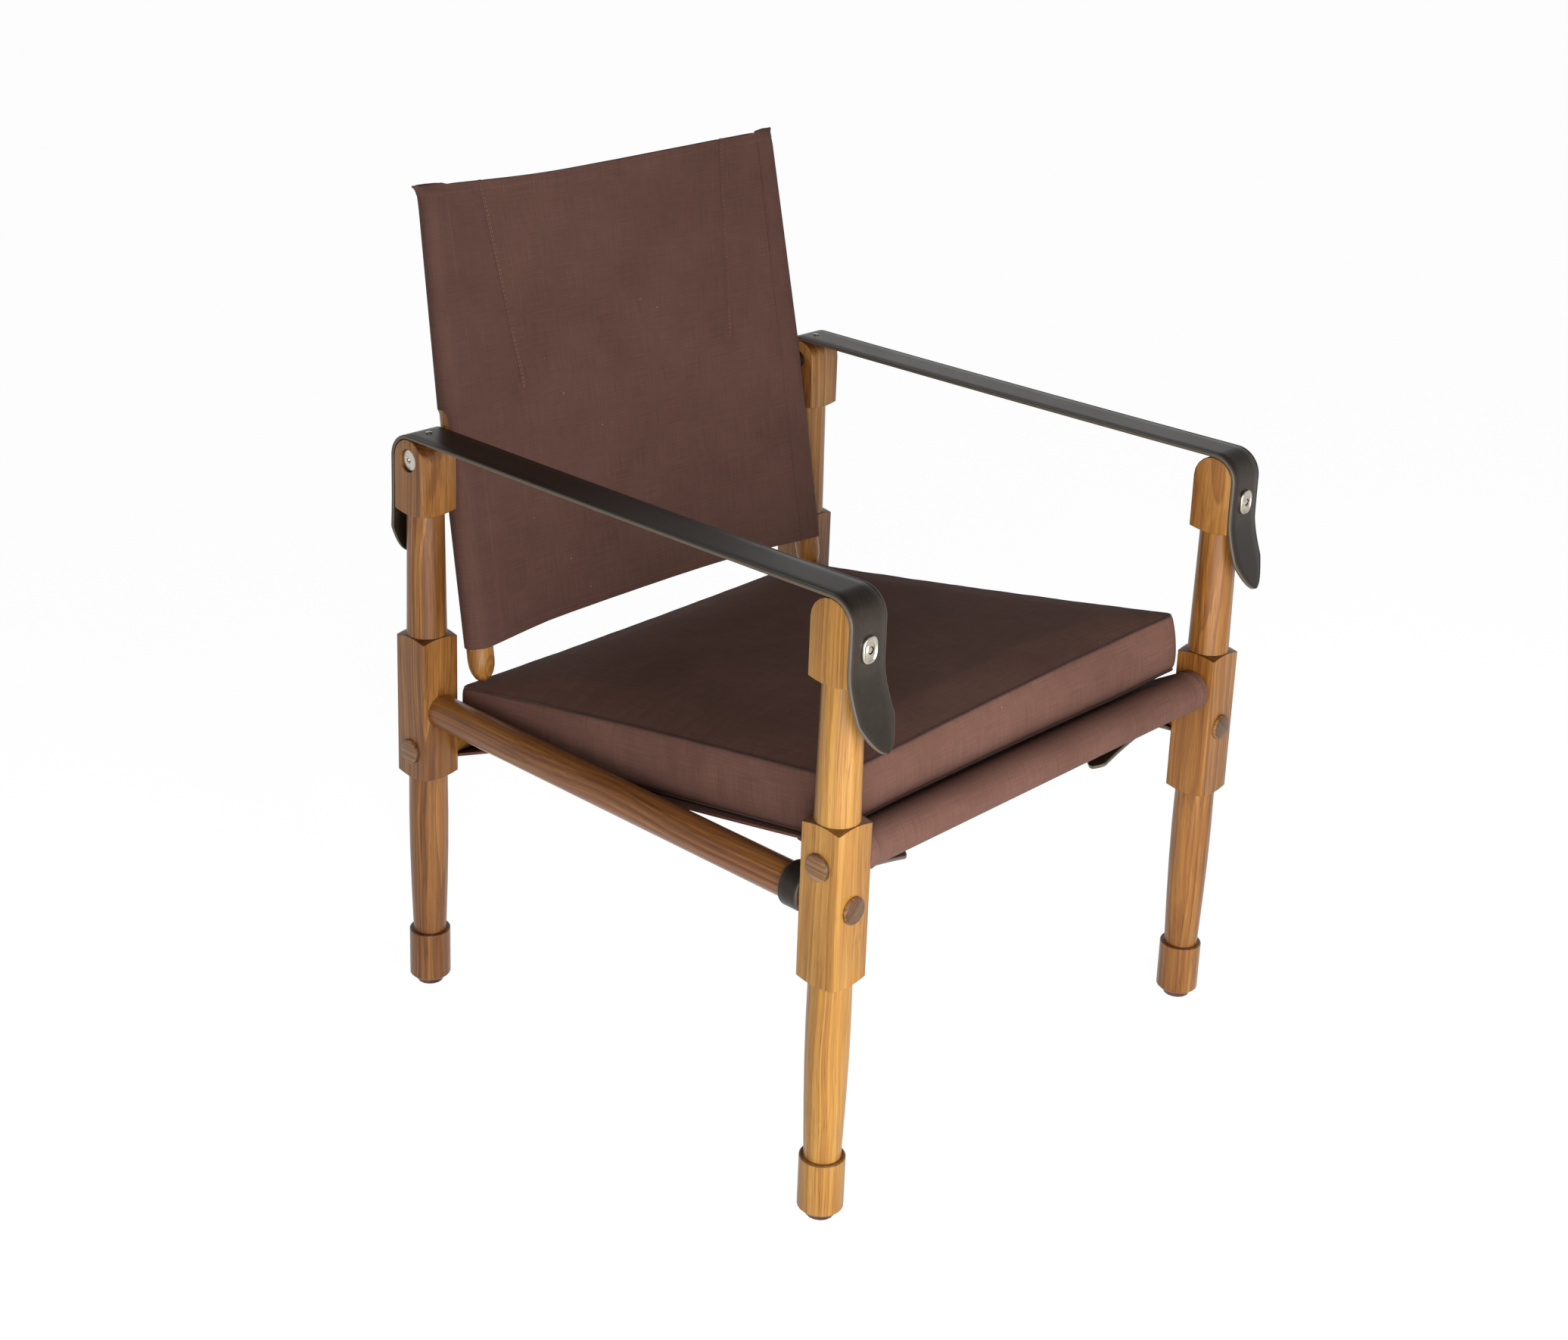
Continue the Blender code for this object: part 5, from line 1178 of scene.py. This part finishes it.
def build_snaps(materials):
    """Oval plates with a rolled rim, a dished face and a lip round the stud's hole."""
    for name in ("left", "right"):
        centre = middle(f"snap_plate_{name}")
        half = size(f"snap_plate_{name}") / 2
        rows = []
        for reach, rise in PLATE_PROFILE:
            oval = ease((reach - 0.33) / 0.3)
            across = PLATE_HOLE_RADIUS * (1 - oval) + half.x * reach * oval
            above = PLATE_HOLE_RADIUS * (1 - oval) + half.z * reach * oval
            outline = rounded_outline(across, above, 2 + 0.7 * oval, 64)
            rows.append([Vector((centre.x + u, centre.y + half.y - rise, centre.z + v)) for u, v in outline])
        mesh = grid_mesh(f"snap_{name}", rows + rows[:1], lambda r, c: (c * 0.001, r * 0.001), True, weld)
        item = put(f"snap_{name}", mesh, materials["nickel"], "frame", 50.0)
        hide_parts(f"snap_plate_{name}")


# Studio

FLOOR_HALF = 9.0
FLOOR_COLOUR = (0.82, 0.82, 0.82, 1.0)
FLOOR_GLOW = 1.35
FLOOR_GLOW_SHARE = 0.70

# Brightness of the room by direction, from straight down to straight up: what lights the object, and what is seen
ROOM_LIGHT = ((0.05, 0.66), (0.45, 0.14), (0.85, 0.06))
ROOM_SHOWN = ((0.25, 1.0), (0.60, 0.30), (1.0, 0.15))


def build_stage():
    mesh = bpy.data.meshes.new("studio_floor")
    corners = [(x * FLOOR_HALF, y * FLOOR_HALF, 0) for x, y in ((-1, -1), (1, -1), (1, 1), (-1, 1))]
    mesh.from_pydata(corners, [], [(0, 1, 2, 3)])
    shader = Shader(bpy.data.materials.new("studio_paper"))
    material = shader.finish({"Base Color": FLOOR_COLOUR, "Roughness": 0.9, "Specular IOR Level": 0.1})
    mesh.materials.append(material)
    paper = shader.tree.nodes["Principled BSDF"].outputs[0]
    glow = shader.node("Emission", {"Strength": FLOOR_GLOW})[0]
    shader.show(paper, shader.node("MixShader", {0: FLOOR_GLOW_SHARE, 1: paper, 2: glow})[0])
    add_object("studio_floor", mesh)


def add_light(name, place, target, sides, power):
    data = bpy.data.lights.new(name, "AREA")
    data.shape = "RECTANGLE"
    data.size, data.size_y = sides
    data.energy = power
    light = add_object(name, data)
    light.location = place
    light.visible_camera = False
    light.rotation_euler = (Vector(target) - Vector(place)).to_track_quat("-Z", "Y").to_euler()


def build_lights():
    """A room that is brightest near the floor, and two soft lights on the photographed side."""
    world = bpy.data.worlds.new("studio")
    bpy.context.scene.world = world
    shader = Shader(world)
    height = shader.node("SeparateXYZ", {0: shader.node("TexCoord")["Generated"]})["Z"]
    shader.show(*(shader.node("Background", {"Color": shader.grey(height, *stops), "Strength": 1.0})[0]
                  for stops in (ROOM_LIGHT, ROOM_SHOWN)))
    add_light("key", (-0.40, -1.38, 0.55), (0.0, -0.1, 0.42), (0.9, 1.1), 13.4)
    add_light("side", (-1.4, -1.2, 0.50), (0.0, -0.1, 0.40), (0.4, 0.9), 13.2)


def build_camera():
    data = bpy.data.cameras.new("photo_camera")
    data.sensor_width = 36.0
    data.lens = CAMERA_LENS
    data.shift_x, data.shift_y = CAMERA_SHIFT
    camera = add_object("photo_camera", data)
    turn = Matrix.Rotation(-CAMERA_YAW, 4, "Z") @ Matrix.Rotation(math.pi / 2 + CAMERA_PITCH, 4, "X")
    turn = turn @ Matrix.Rotation(CAMERA_ROLL, 4, "Z")
    camera.matrix_world = Matrix.Translation(CAMERA_FROM_FRONT_LEGS + Vector((0, FRONT_Y, 0))) @ turn
    bpy.context.scene.camera = camera


def main():
    materials = make_materials()
    dress_cad_nodes(materials)
    for build in (build_back_canvas, build_sling, build_cushion, build_arm_straps, build_thigh_strap, build_snaps):
        build(materials)
    build_stage()
    build_lights()
    build_camera()
    bpy.context.scene.view_settings.view_transform = "Standard"


main()
